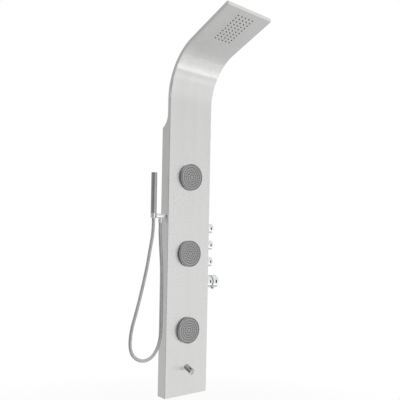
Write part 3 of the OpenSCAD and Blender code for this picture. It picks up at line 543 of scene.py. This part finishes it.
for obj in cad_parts.values():
    for slot in obj.material_slots:
        slot.material = materials[slotFinish[slot.material.name]]
for number in (1, 2, 3):        # the plates behind the jets' covers are made pale: painted light that lifts the shade in the gap behind each cover
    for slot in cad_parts[f"jet_{number}_ball"].material_slots:
        slot.material = materials["whitePlastic"]
print("materials:", len(materials))


# Gives a finished piece its material and its body, and lets it stand for CAD nodes
def dress(obj, finish, slot, body, *nodes):
    obj.data.materials.clear()
    obj.data.materials.append(materials[finish])
    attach(obj, body)
    if nodes:
        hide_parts(*nodes)
    return obj


# Geometry node tools


def newTree(name, inputs):
    tree = bpy.data.node_groups.new(name, "GeometryNodeTree")
    tree.interface.new_socket(name="Geometry", in_out="INPUT", socket_type="NodeSocketGeometry")
    for label, kind in inputs:
        tree.interface.new_socket(name=label, in_out="INPUT", socket_type=kind)
    tree.interface.new_socket(name="Geometry", in_out="OUTPUT", socket_type="NodeSocketGeometry")
    return tree, tree.nodes.new("NodeGroupInput"), tree.nodes.new("NodeGroupOutput")


def closeTree(tree, start, end, geometry):
    solid = put(tree, "GeometryNodeRealizeInstances", {0: geometry})
    named = put(tree, "GeometryNodeSetMaterial", {"Geometry": solid.outputs[0],
                                                  "Material": start.outputs["Material"]})
    tree.links.new(named.outputs[0], end.inputs[0])


def runTree(tree, mesh, values):        # the tree's result as a plain mesh
    obj = bpy.data.objects.new(tree.name, mesh)
    scene.collection.objects.link(obj)
    step = obj.modifiers.new(tree.name, "NODES")
    step.node_group = tree
    for item in tree.interface.items_tree:
        if item.in_out == "INPUT" and item.name in values:
            step[item.identifier] = values[item.name]
    return finished(obj)


# Shower hose

hose = {
    "route": [          # sideways and up from the panel's bottom edge, in millimetres
        (-131, 729), (-131, 714), (-131, 690), (-128, 641), (-124, 591), (-120, 533), (-118, 449),
        (-118, 366), (-118, 303), (-120, 262), (-127, 227), (-141, 197), (-162, 175), (-189, 165),
        (-217, 168), (-242, 183), (-259, 209), (-264, 248), (-257, 300), (-240, 358), (-222, 422),
        (-206, 485), (-191, 550), (-179, 615), (-170, 664), (-166, 700), (-165, 731), (-165, 746),
    ],
    "diameter": 14.0,
    "within": 0.05,     # how far the skin stays inside that
    "ribPitch": 3.0,
    "ribDepth": 0.55,
    "ringsPerRib": 4,
    "sides": 20,
    "steps": 10,        # points between two of the route
    "bare": 10.0,       # smooth length at each end
    "sharp": 80,        # degrees above which an edge is drawn sharp
}


def hosePath():
    points = [Vector((x, sideY / mm, height + bottom / mm)) * mm for x, height in hose["route"]]
    path = []
    for i in range(len(points) - 1):
        a, b = points[max(i - 1, 0)], points[i]
        c, d = points[i + 1], points[min(i + 2, len(points) - 1)]
        for k in range(hose["steps"]):
            t = k / hose["steps"]
            path.append(0.5 * (2 * b + (c - a) * t + (2 * a - 5 * b + 4 * c - d) * t * t
                               + (3 * b - a - 3 * c + d) * t ** 3))
    path.append(points[-1])
    return path


def makeHoseTree():
    tree, start, end = newTree("hoseRibs", [
        ("Radius", "NodeSocketFloat"), ("Rib Pitch", "NodeSocketFloat"), ("Rib Depth", "NodeSocketFloat"),
        ("Rings", "NodeSocketInt"), ("Sides", "NodeSocketInt"), ("Length", "NodeSocketFloat"),
        ("Bare Ends", "NodeSocketFloat"), ("Material", "NodeSocketMaterial")])
    line = put(tree, "GeometryNodeMeshToCurve", {0: start.outputs["Geometry"]})
    even = put(tree, "GeometryNodeResampleCurve", {"Curve": line.outputs[0], "Count": start.outputs["Rings"]})
    where = put(tree, "GeometryNodeSplineParameter").outputs["Length"]
    turns = calc(tree, "DIVIDE", where, start.outputs["Rib Pitch"])
    wave = calc(tree, "SINE", calc(tree, "MULTIPLY", turns, 2 * math.pi))
    groove = calc(tree, "MULTIPLY", calc(tree, "MULTIPLY_ADD", wave, -0.5, 0.5), start.outputs["Rib Depth"])
    toEnd = calc(tree, "MINIMUM", where, calc(tree, "SUBTRACT", start.outputs["Length"], where))
    inside = calc(tree, "GREATER_THAN", toEnd, start.outputs["Bare Ends"])
    radius = calc(tree, "SUBTRACT", start.outputs["Radius"], calc(tree, "MULTIPLY", groove, inside))
    ring = put(tree, "GeometryNodeCurvePrimitiveCircle", {"Resolution": start.outputs["Sides"],
                                                          "Radius": 1.0})
    tube = put(tree, "GeometryNodeCurveToMesh", {"Curve": even.outputs[0], "Profile Curve": ring.outputs[0],
                                                 "Scale": radius, "Fill Caps": True})
    closeTree(tree, start, end, tube.outputs[0])
    return tree


def addHose():
    path = hosePath()
    length = sum((b - a).length for a, b in zip(path, path[1:]))
    line = bpy.data.meshes.new("hoseLine")
    line.from_pydata(path, [(i, i + 1) for i in range(len(path) - 1)], [])
    mesh = runTree(makeHoseTree(), line, {
        "Radius": (hose["diameter"] / 2 - hose["within"]) * mm, "Rib Pitch": hose["ribPitch"] * mm,
        "Rib Depth": hose["ribDepth"] * mm, "Sides": hose["sides"], "Length": length,
        "Rings": int(length / (hose["ribPitch"] * mm) * hose["ringsPerRib"]),
        "Bare Ends": hose["bare"] * mm, "Material": materials["hoseWire"]})
    obj = keep("showerHose", mesh, hose["sharp"])
    obj.data.materials.clear()
    obj.data.materials.append(materials["hoseWire"])
    obj.visible_glossy = False      # no streak of it in the brushed side
    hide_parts("shower_hose")
    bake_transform(obj)
    print("hose length", round(length, 4), "m")


addHose()

# Rain nozzles

rain = {
    "columns": 5, "rows": 10, "across": 18.0, "along": 15.2, "tip": 29.0, "armLength": 222.0,
    "nozzle": [(0, -1.2), (0.75, -1.2), (1.05, -1.8, 0.25), (1.9, -1.8, 0.5), (2.25, -0.3, 0.4), (2.6, 0.1),
               (2.6, 1.5), (0, 1.5)],   # half of one nozzle in section, from its mouth to its foot
    "sides": 16, "arcSteps": 3,
    "matDepth": (1.5, 3.5),         # from the underside
    "matSpan": (39.2, 210.0),       # along the arm
}


def makeGridTree():
    tree, start, end = newTree("nozzleGrid", [
        ("Columns", "NodeSocketInt"), ("Rows", "NodeSocketInt"), ("Across", "NodeSocketFloat"),
        ("Along", "NodeSocketFloat"), ("Nozzle", "NodeSocketObject"), ("Material", "NodeSocketMaterial")])
    lastRow = calc(tree, "SUBTRACT", start.outputs["Rows"], 1.0)
    lastColumn = calc(tree, "SUBTRACT", start.outputs["Columns"], 1.0)
    grid = put(tree, "GeometryNodeMeshGrid", {
        "Size X": calc(tree, "MULTIPLY", lastRow, start.outputs["Along"]),
        "Size Y": calc(tree, "MULTIPLY", lastColumn, start.outputs["Across"]),
        "Vertices X": start.outputs["Rows"], "Vertices Y": start.outputs["Columns"]})
    shape = put(tree, "GeometryNodeObjectInfo", {"Object": start.outputs["Nozzle"]})
    many = put(tree, "GeometryNodeInstanceOnPoints", {"Points": grid.outputs[0],
                                                      "Instance": shape.outputs["Geometry"]})
    closeTree(tree, start, end, many.outputs[0])
    return tree


def addRainNozzles():
    sample = bpy.data.objects.new("rainNozzle", turned(rain["nozzle"], Matrix(), rain["sides"],
                                                            rain["arcSteps"]))
    scene.collection.objects.link(sample)
    mesh = runTree(makeGridTree(), bpy.data.meshes.new("rainGrid"), {
        "Columns": rain["columns"], "Rows": rain["rows"], "Across": rain["across"] * mm,
        "Along": rain["along"] * mm, "Nozzle": sample, "Material": materials["greySilicone"]})
    bpy.data.objects.remove(sample)
    arm = onArm()
    inward, along = arm.col[0].to_3d(), arm.col[1].to_3d()
    middleRow = rain["armLength"] - rain["tip"] - (rain["rows"] - 1) / 2 * rain["along"]
    mesh.transform(axes(along, (-1, 0, 0), inward, arm.translation + along * middleRow * mm))
    low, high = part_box("rain_nozzle_mat")
    (under, over), (near, far) = rain["matDepth"], rain["matSpan"]
    mat = brick((under, near, low.x / mm), (over, far, high.x / mm), arm)
    dress(keep("rainNozzles", merged([mesh, mat])), "greySilicone", "silicone", "root", "rain_nozzle_mat")


addRainNozzles()
print("rain nozzles placed")

# Body jets

jet = {
    "radius": 56.0, "ballZ": -8.0, "topTilt": 3.0,
    "face": [(0, 11.5), (53.4, 11.5, 0.2), (53.4, 7.6, 0.2), (55.4, 7.6, 0.3), (56, 8.4, 0.3), (56, 13, 1.6),
             (52.2, 13, 0.7), (51.4, 11.9, 0.3), (50.4, 11.9, 0.3), (49.8, 12.3, 0.2), (0, 12.6)],
    "pad": [(0, 9.3), (53.2, 9.3), (53.2, 11.5), (0, 11.5)],
    "rings": [(0.18, 6), (0.36, 12), (0.54, 18), (0.73, 24)],   # share of the radius, and how many
    "nozzle": [(0, 13.1), (0.35, 13.1), (0.5, 13.6, 0.12), (0.95, 13.6, 0.3), (1.3, 12.3), (1.3, 11.4),
               (0, 11.4)],
    "hole": [(0, 11), (1.9, 11), (1.9, 13.5), (0, 13.5)],
    "sides": 12, "arcSteps": 2,         # of one nozzle or hole
    "faceSides": 120, "padSides": 96,
    "facing": 0.3,      # how far forward a face points (1 is straight) to count as the front
}


def makeRingTree():
    tree, start, end = newTree("nozzleRings", [
        ("Radius", "NodeSocketFloat"), ("Nozzle", "NodeSocketObject"), ("Material", "NodeSocketMaterial")])
    shape = put(tree, "GeometryNodeObjectInfo", {"Object": start.outputs["Nozzle"]})
    together = put(tree, "GeometryNodeJoinGeometry")
    for share, count in jet["rings"]:
        ring = put(tree, "GeometryNodeMeshCircle", {
            "Vertices": count, "Radius": calc(tree, "MULTIPLY", start.outputs["Radius"], share)})
        many = put(tree, "GeometryNodeInstanceOnPoints", {"Points": ring.outputs[0],
                                                          "Instance": shape.outputs["Geometry"]})
        tree.links.new(many.outputs[0], together.inputs[0])
    closeTree(tree, start, end, together.outputs[0])
    return tree


def ringsOf(outline, tree):      # the outline turned once and set at every nozzle of a jet
    sample = bpy.data.objects.new("sample", turned(outline, Matrix(), jet["sides"], jet["arcSteps"]))
    scene.collection.objects.link(sample)
    mesh = runTree(tree, bpy.data.meshes.new("jetGrid"), {
        "Radius": jet["radius"] * mm, "Nozzle": sample, "Material": materials["greySilicone"]})
    bpy.data.objects.remove(sample)
    return mesh


# UV map of a jet's cover: the distance from its axis as a share of its radius, and 1 on its side and back,
# the mask for their painted light
def addRadiusMap(mesh):
    layer = mesh.uv_layers.new(name="radius")
    for poly in mesh.polygons:
        side = float(poly.normal.z < jet["facing"])
        for index in poly.loop_indices:
            point = mesh.vertices[mesh.loops[index].vertex_index].co
            layer.data[index].uv = (point.xy.length / (jet["radius"] * mm), side)


def addJets():
    tree = makeRingTree()
    nozzles = ringsOf(jet["nozzle"], tree)
    face = joined(turned(jet["face"], Matrix(), jet["faceSides"]), [ringsOf(jet["hole"], tree)], "DIFFERENCE")
    addRadiusMap(face)
    pivot = Matrix.Translation((0, 0, jet["ballZ"] * mm))
    lean = pivot @ Matrix.Rotation(math.radians(jet["topTilt"]), 4, "X") @ pivot.inverted()
    for number in (1, 2, 3):
        place = onFront(middle(f"jet_{number}_socket").z) @ (lean if number == 1 else Matrix())
        cover = face.copy()
        cover.transform(place)
        head = f"jet_{number}_head"
        dress(keep(f"jetFace{number}", cover), "jetCover", "jet_cover", head, f"jet_{number}_face")
        tips = merged([nozzles, turned(jet["pad"], Matrix(), jet["padSides"])])
        tips.transform(place)
        dress(keep(f"jetNozzles{number}", tips), "greySilicone", "silicone", head, f"jet_{number}_nozzles")


addJets()
print("jets placed")

# Knobs on the right side


def dishedEnd(piece, front):        # outline of an outer end with a shallow dish in it, up to the axis
    floor = front - piece["dishDepth"]
    return [(piece["radius"], front, piece["frontRound"]), (piece["dishRadius"], front, piece["dishRound"]),
            (piece["dishRadius"] - piece["dishSlope"], floor, piece["dishRound"]), (0, floor)]


knob = {
    "radius": 21.0, "back": 2.6, "front": 30.0, "frontRound": 1.6, "backRound": 0.5,
    "cavity": 13.0, "cavityRound": 0.4, "mouthRound": 0.3, "hub": 13.0,
    "spindle": 4.0, "spindleEnd": 24.0,
    "dishRadius": 17.0, "dishDepth": 0.35, "dishSlope": 0.6, "dishRound": 0.3,
    "mark": ((-21, -0.7, 29.5), (-10.5, 0.7, 31)),      # notch in the front edge, pointing up at rest
    "sides": 96,
}


def knobMesh(place):
    outline = [
        (0, knob["spindleEnd"]), (knob["spindle"], knob["spindleEnd"]), (knob["spindle"], knob["hub"]),
        (knob["cavity"], knob["hub"], knob["cavityRound"]),
        (knob["cavity"], knob["back"], knob["mouthRound"]),
        (knob["radius"], knob["back"], knob["backRound"]), *dishedEnd(knob, knob["front"]),
    ]
    return joined(turned(outline, place, knob["sides"]), [brick(*knob["mark"], place)], "DIFFERENCE")


for role in ("rain", "jets", "outlet"):
    turning = keep(role + "Knob", knobMesh(onRight(role + "_knob")))
    dress(turning, "chromePlate", "chrome", role + "_control", role + "_knob")
print("knobs turned")

# Mixer

mixer = {
    "sleeve": [(21.7, 0), (25, 0, 0.3), (25, 28, 0.8), (21.7, 28, 0.3)],
    "radius": 28.0, "back": 30.0, "front": 61.0, "frontRound": 1.6, "backRound": 0.8,
    "wall": 4.0, "cavityRound": 0.8, "mouthRound": 0.5,
    "hub": 10.0, "hubRound": 0.4, "spindle": 5.0, "spindleEnd": 53.0,
    "dishRadius": 23.0, "dishDepth": 0.4, "dishSlope": 0.6, "dishRound": 0.3,
    "button": 5.55, "buttonZ": 46.5,
    "buttonHole": (20.0, 40.0),     # its ends, down from the handle's axis
    "cap": [(0, 21.233), (6.7, 21.233, 0.2), (6.7, 22.733, 0.2), (5.5, 22.733), (5.5, 33, 1.0),
            (3.2, 33, 0.2), (2.9, 32.6, 0.2), (0, 32.6)],
    "sides": 96, "buttonSides": 48,
}


def addMixer():
    place = onRight("mixer_sleeve")
    sleeve = keep("mixerSleeve", turned(mixer["sleeve"], place, mixer["sides"]))
    dress(sleeve, "chromePlate", "chrome", "root", "mixer_sleeve")
    inner = mixer["radius"] - mixer["wall"]
    roof = mixer["front"] - mixer["wall"]
    outline = [
        (0, mixer["spindleEnd"]), (mixer["spindle"], mixer["spindleEnd"]), (mixer["spindle"], mixer["back"]),
        (mixer["hub"], mixer["back"], mixer["hubRound"]), (mixer["hub"], roof, mixer["cavityRound"]),
        (inner, roof, mixer["cavityRound"]), (inner, mixer["back"], mixer["mouthRound"]),
        (mixer["radius"], mixer["back"], mixer["backRound"]), *dishedEnd(mixer, mixer["front"]),
    ]
    down = place @ axes((0, 0, -1), (0, 1, 0), (1, 0, 0), (0, 0, mixer["buttonZ"] * mm))
    near, far = mixer["buttonHole"]
    hole = turned([(0, near), (mixer["button"], near), (mixer["button"], far), (0, far)], down,
                  mixer["buttonSides"])
    handle = keep("mixerHandle", joined(turned(outline, place, mixer["sides"]), [hole], "DIFFERENCE"))
    dress(handle, "chromePlate", "chrome", "mixer_control", "mixer_handle")
    button = keep("mixerButton", turned(mixer["cap"], down, mixer["buttonSides"]))
    dress(button, "buttonPlastic", "button_plastic", "mixer_stop", "mixer_button")


addMixer()
print("mixer turned")

# Holder and handset on the left side

holder = {
    "aboveNut": 13.0,       # from the top of the hose's nut to the middle of the bar
    "cupX": 55.0, "cupRadius": 12.5, "cupRound": 0.8, "barRadius": 9.2, "outletX": 21.0,
    "flange": [(0, -10), (10, -10, 0.5), (10, 1), (13.5, 1, 0.3), (13.5, 4, 0.9)],
    "flangeTop": 4.0, "barRound": 0.8,
    "nipple": [(4, 0), (7.9, 0), (7.9, 22, 0.4), (4, 22, 0.3)],
    "cone": [(0, -0.05), (8.2, -0.05), (10.2, 18.45), (0, 18.45)],
    "slot": 15.5, "slotDepth": 25.0, "slotPast": 1.0,       # how far it cuts past the bar
    "nut": [(4, -28, 0.5), (8.6, -28, 0.9), (8.6, -24), (9.5, -24, 0.4), (9.5, -20, 0.4), (8.6, -20),
            (8.6, -13, 0.5), (7.95, -13), (7.95, -23.5), (4, -23.5)],
    "sides": 64, "pipeSides": 48,
}
handset = {
    "radius": 12.0, "length": 167.0, "wall": 1.95, "collar": 8.0, "plug": 6.95,
    "footRound": 0.6, "seamRound": 0.25, "frontRound": 1.0,
    "cap": 7.0, "capSkirt": 14.0, "capWall": 1.9, "capBore": 8.1,
    "dishRadius": 9.0, "dishDepth": 0.3, "dishSlope": 0.3, "dishRound": 0.2,
    "window": (0.62, 0.92),         # share of the length
    "windowWidth": 10.0,
    "nut": [(4, -20.2), (7.75, -20.2, 0.6), (9.8, 0, 0.3), (6.9, 0), (6.9, 8, 0.5), (4, 8)],
    "sides": 72, "nutSides": 64,
}


def addHolder():        # gives back the height of its bar
    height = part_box("outlet_nut")[1].z + holder["aboveNut"] * mm
    place = onLeft(height)
    bar, sides = holder["barRadius"], holder["sides"]
    cupPlace = place @ axes((0, 1, 0), (0, 0, 1), (1, 0, 0), (-bar * mm, 0, holder["cupX"] * mm))
    cup = turned([(0, 0), (holder["cupRadius"], 0, holder["cupRound"]),
                  (holder["cupRadius"], 2 * bar, holder["cupRound"]), (0, 2 * bar)], cupPlace, sides)
    down = place @ axes((0, 1, 0), (0, 0, -1), (-1, 0, 0), (0, 0, holder["outletX"] * mm))
    nipple = turned(holder["nipple"], down, holder["pipeSides"])
    outline = [*holder["flange"], (bar, holder["flangeTop"], holder["barRound"]), (bar, holder["cupX"]),
               (0, holder["cupX"])]
    body = joined(turned(outline, place, sides), [cup, nipple], "UNION")
    reach = bar + holder["slotPast"]
    low, high = holder["cupX"] - holder["slot"] / 2, holder["cupX"] + holder["slot"] / 2
    slot = brick((-reach, -holder["slotDepth"], low), (reach, 0, high), place)
    body = joined(body, [turned(holder["cone"], cupPlace, sides), slot], "DIFFERENCE")
    dress(keep("holderArm", body), "chromePlate", "chrome", "root", "holder_arm")
    nutPlace = upright(-halfWidth - holder["outletX"] * mm, height)
    nut = keep("outletNut", turned(holder["nut"], nutPlace, sides))
    dress(nut, "chromePlate", "chrome", "root", "outlet_nut")
    return height


def addHandset(height):
    place = upright(-halfWidth - holder["cupX"] * mm, height + holder["barRadius"] * mm)
    radius, length, plug, sides = handset["radius"], handset["length"], handset["plug"], handset["sides"]
    inner = radius - handset["wall"]
    seam = length - handset["cap"]
    seamEdge = (radius, seam, handset["seamRound"])
    tube = turned([(plug, 0), (radius, 0, handset["footRound"]), seamEdge, (inner, seam),
                   (inner, handset["collar"]), (plug, handset["collar"])], place, sides)
    low, high = (share * length for share in handset["window"])
    half = handset["windowWidth"] / 2
    window = brick((0, -half, low), (2 * radius, half, high), place)
    tube = joined(tube, [window], "DIFFERENCE")
    dress(keep("handsetTube", tube), "satinPlate", "chrome", "handset", "handset_tube")
    bore, roof, skirt = handset["capBore"], length - handset["capWall"], length - handset["capSkirt"]
    cap = turned([(0, roof), (bore, roof), (bore, skirt), (inner, skirt), (inner, seam), seamEdge,
                  *dishedEnd(handset, length)], place, sides)
    dress(keep("handsetCap", cap), "satinPlate", "chrome", "handset", "handset_cap")
    nut = turned(handset["nut"], place, handset["nutSides"])
    dress(keep("hoseConeNut", nut), "chromePlate", "chrome", "handset", "hose_cone_nut")


addHandset(addHolder())
print("handset and holder turned")

# Spout

spout = {
    "height": 119.0, "fall": 19.0, "radius": 12.5, "length": 44.0, "wall": 2.5, "mouth": 15.4,
    "tipRound": 0.9, "boreRound": 0.5, "floorRound": 0.8, "gasket": 1.0,
    "stemRadius": 10.0, "stemDepth": 15.0, "stemRound": 0.5,
    "overlap": 1.0,     # of stem and tube
    "sides": 72, "stemSides": 48,
}


def addSpout():
    place = onFront(bottom + spout["height"] * mm)
    along = place @ Matrix.Rotation(math.radians(spout["fall"]), 4, "X")
    radius, inner, length = spout["radius"], spout["radius"] - spout["wall"], spout["length"]
    outline = [(0, -radius), (radius, -radius), (radius, length, spout["tipRound"]),
               (inner, length, spout["boreRound"]), (inner, spout["mouth"], spout["floorRound"]),
               (0, spout["mouth"])]
    work = bmesh.new()
    work.from_mesh(turned(outline, along, spout["sides"]))
    plane = place @ Vector((0, 0, spout["gasket"] * mm))
    cut = bmesh.ops.bisect_plane(work, geom=work.verts[:] + work.edges[:] + work.faces[:], plane_co=plane,
                                 plane_no=(0, 1, 0), clear_outer=True)
    bmesh.ops.holes_fill(work, edges=[e for e in cut["geom_cut"] if isinstance(e, bmesh.types.BMEdge)])
    stemEnd = spout["gasket"] + spout["overlap"]
    stem = turned([(0, -spout["stemDepth"]), (spout["stemRadius"], -spout["stemDepth"], spout["stemRound"]),
                   (spout["stemRadius"], stemEnd), (0, stemEnd)], place, spout["stemSides"])
    obj = keep("spoutBody", joined(released(work, "spoutTube"), [stem], "UNION"))
    obj.visible_glossy = False      # no smudge of it in the brushed front
    dress(obj, "satinPlate", "chrome", "root", "spout_body")


addSpout()
print("spout turned")

# Stage: a pale floor well below the panel, white surroundings and soft lamps

stage = {
    "floorZ": -1.45, "floorSize": 14.0, "floorTone": 0.8, "shadowShare": 0.22, "shadowFade": (0.5, 2.2),
    "shade": 0.5,       # what rays that light the object see around it
    "lamps": [          # name, place, target, width, height, watts
        ("keyLamp", (1.9, -2.6, 1.3), (0, -0.1, -0.3), 1.8, 1.8, 34),
        ("fillLamp", (-2.4, -1.9, 0.6), (0, -0.1, -0.2), 1.6, 2.0, 16),
        ("topLamp", (0.2, -0.6, 2.6), (0, -0.1, 0.0), 2.2, 2.2, 26),
        ("backLamp", (0.4, 2.4, 1.2), (0, 0, -0.2), 2.2, 2.2, 26),
    ],
}


def addLamps():
    for name, place, target, width, height, watts in stage["lamps"]:
        data = bpy.data.lights.new(name, "AREA")
        data.shape = "RECTANGLE"
        data.size, data.size_y = width, height
        data.energy = watts
        obj = bpy.data.objects.new(name, data)
        obj.location = place
        obj.rotation_euler = (Vector(target) - Vector(place)).to_track_quat("-Z", "Y").to_euler()
        obj.visible_camera = False
        obj.visible_glossy = False
        scene.collection.objects.link(obj)


def addFloor():
    half, level = stage["floorSize"] / 2, stage["floorZ"]
    mesh = bpy.data.meshes.new("paleFloor")
    corners = [(-half, -half, level), (half, -half, level), (half, half, level), (-half, half, level)]
    mesh.from_pydata(corners, [], [(0, 1, 2, 3)])
    obj = bpy.data.objects.new("paleFloor", mesh)
    scene.collection.objects.link(obj)
    obj.visible_glossy = False
    material = bpy.data.materials.new("paleFloor")
    material.use_nodes = True
    mesh.materials.append(material)
    tree = material.node_tree
    tree.nodes.clear()
    tone = stage["floorTone"]
    matt = put(tree, "ShaderNodeBsdfDiffuse", {"Color": (tone, tone, tone, 1)})
    white = put(tree, "ShaderNodeEmission", {"Color": (1, 1, 1, 1), "Strength": 1.0})
    away = vec(tree, "LENGTH", put(tree, "ShaderNodeTexCoord").outputs["Object"])
    near, far = (math.hypot(reach, level) for reach in stage["shadowFade"])
    shaded = spread(tree, away, near, far, stage["shadowShare"], 0.0)       # the floor itself shows nearby
    path = put(tree, "ShaderNodeLightPath")
    seen = calc(tree, "ADD", path.outputs["Is Camera Ray"], path.outputs["Is Transmission Ray"], clamp=True)
    share = calc(tree, "MULTIPLY", seen, calc(tree, "SUBTRACT", 1.0, shaded))
    mixed = put(tree, "ShaderNodeMixShader", {0: share, 1: matt.outputs[0], 2: white.outputs[0]})
    put(tree, "ShaderNodeOutputMaterial", {"Surface": mixed.outputs[0]})


# What metal sees around it, by compass angle: 0 is straight ahead of the panel, 90 its right
surroundings = {
    "level": [(-180, 0.60), (-141, 0.60), (-105, 0.49), (-78, 0.36), (-38, 0.36), (-8, 0.60), (5, 1.0),
              (104, 1.0), (118, 0.80), (180, 0.60)],
    "below": [(-180, 0.58), (-38, 0.56), (10, 0.82), (46, 0.79), (56, 0.80), (65, 0.79), (76, 0.76),
              (90, 0.70), (102, 0.66), (127, 0.63), (180, 0.58)],
    "above": 0.9,
    "tilt": -0.25,              # change of the level view with height
    "blend": (-0.40, -0.62),    # heights (sine) between which level turns into below
    "rise": (0.42, 0.62),       # and level into above
    "strips": [(-0.423, 0.022, 0.45), (-0.656, 0.024, 2.2)],     # height (sine), half width, brightness
    "stripCore": 0.5,           # share of the half width at full brightness
    "stripSpan": (0.35, 0.80),  # sideways part of the view over which a fade runs from 0 to 1
    "stripFade": (0.0, 0.3),    # part of that fade in which the strips come up
    # a dark gap ahead and to the right, which the knobs and mixer show
    "gap": {"side": 0.653, "halfSide": 0.0255, "height": -0.02, "halfHeight": 0.42, "soft": 0.15},
}


def compassRamp(tree, turn, stops):
    ramp = put(tree, "ShaderNodeValToRGB", {0: turn})
    elements = ramp.color_ramp.elements
    while len(elements) < len(stops):
        elements.new(0.5)
    for element, (angle, value) in zip(elements, stops):
        element.position = angle / 360 + 0.5
        element.color = (value, value, value, 1)
    return ramp.outputs[0]


def addWorld():
    world = bpy.data.worlds.new("studio")
    world.use_nodes = True
    tree = world.node_tree
    tree.nodes.clear()
    split = put(tree, "ShaderNodeSeparateXYZ", {0: put(tree, "ShaderNodeTexCoord").outputs["Generated"]})
    height = split.outputs["Z"]
    ahead = calc(tree, "MULTIPLY", split.outputs["Y"], -1.0)
    compass = calc(tree, "ARCTAN2", split.outputs["X"], ahead)
    turn = calc(tree, "MULTIPLY_ADD", compass, 0.5 / math.pi, 0.5)
    sloped = calc(tree, "MULTIPLY_ADD", height, surroundings["tilt"], 1.0)
    level = calc(tree, "MULTIPLY", compassRamp(tree, turn, surroundings["level"]), sloped, clamp=True)
    low = spread(tree, height, *surroundings["blend"])
    high = spread(tree, height, *surroundings["rise"])
    view = put(tree, "ShaderNodeMix", {0: low, 2: level, 3: compassRamp(tree, turn, surroundings["below"])})
    view = put(tree, "ShaderNodeMix", {0: high, 2: view.outputs[0], 3: surroundings["above"]}).outputs[0]
    inFront = calc(tree, "GREATER_THAN", ahead, 0.0)
    fade = calc(tree, "MULTIPLY", spread(tree, split.outputs["X"], *surroundings["stripSpan"]), inFront)
    span = spread(tree, fade, *surroundings["stripFade"])
    for place, width, gain in surroundings["strips"]:
        off = calc(tree, "ABSOLUTE", calc(tree, "SUBTRACT", height, place))
        core = width * surroundings["stripCore"]
        strip = calc(tree, "MULTIPLY", spread(tree, off, core, width, gain, 0.0), span)
        view = calc(tree, "ADD", view, strip)
    gap = surroundings["gap"]
    dark = inFront
    for part, centre, half in ((split.outputs["X"], gap["side"], gap["halfSide"]),
                               (height, gap["height"], gap["halfHeight"])):
        off = calc(tree, "ABSOLUTE", calc(tree, "SUBTRACT", part, centre))
        dark = calc(tree, "MULTIPLY", dark, spread(tree, off, half * (1 - gap["soft"]), half, 1.0, 0.0))
    view = calc(tree, "MULTIPLY", view, calc(tree, "MULTIPLY_ADD", dark, -1.0, 1.0))
    path = put(tree, "ShaderNodeLightPath")
    glossy = path.outputs["Is Glossy Ray"]
    white = calc(tree, "ADD", path.outputs["Is Camera Ray"], path.outputs["Is Transmission Ray"], clamp=True)
    rest = calc(tree, "SUBTRACT", 1.0, calc(tree, "ADD", white, glossy, clamp=True))
    value = calc(tree, "MULTIPLY_ADD", rest, stage["shade"], white)
    value = calc(tree, "MULTIPLY_ADD", glossy, view, value)
    back = put(tree, "ShaderNodeBackground", {"Color": (1, 1, 1, 1), "Strength": value})
    put(tree, "ShaderNodeOutputWorld", {"Surface": back.outputs[0]})
    scene.world = world


addLamps()
addFloor()
addWorld()
scene.view_settings.view_transform = "Standard"
print("stage set")
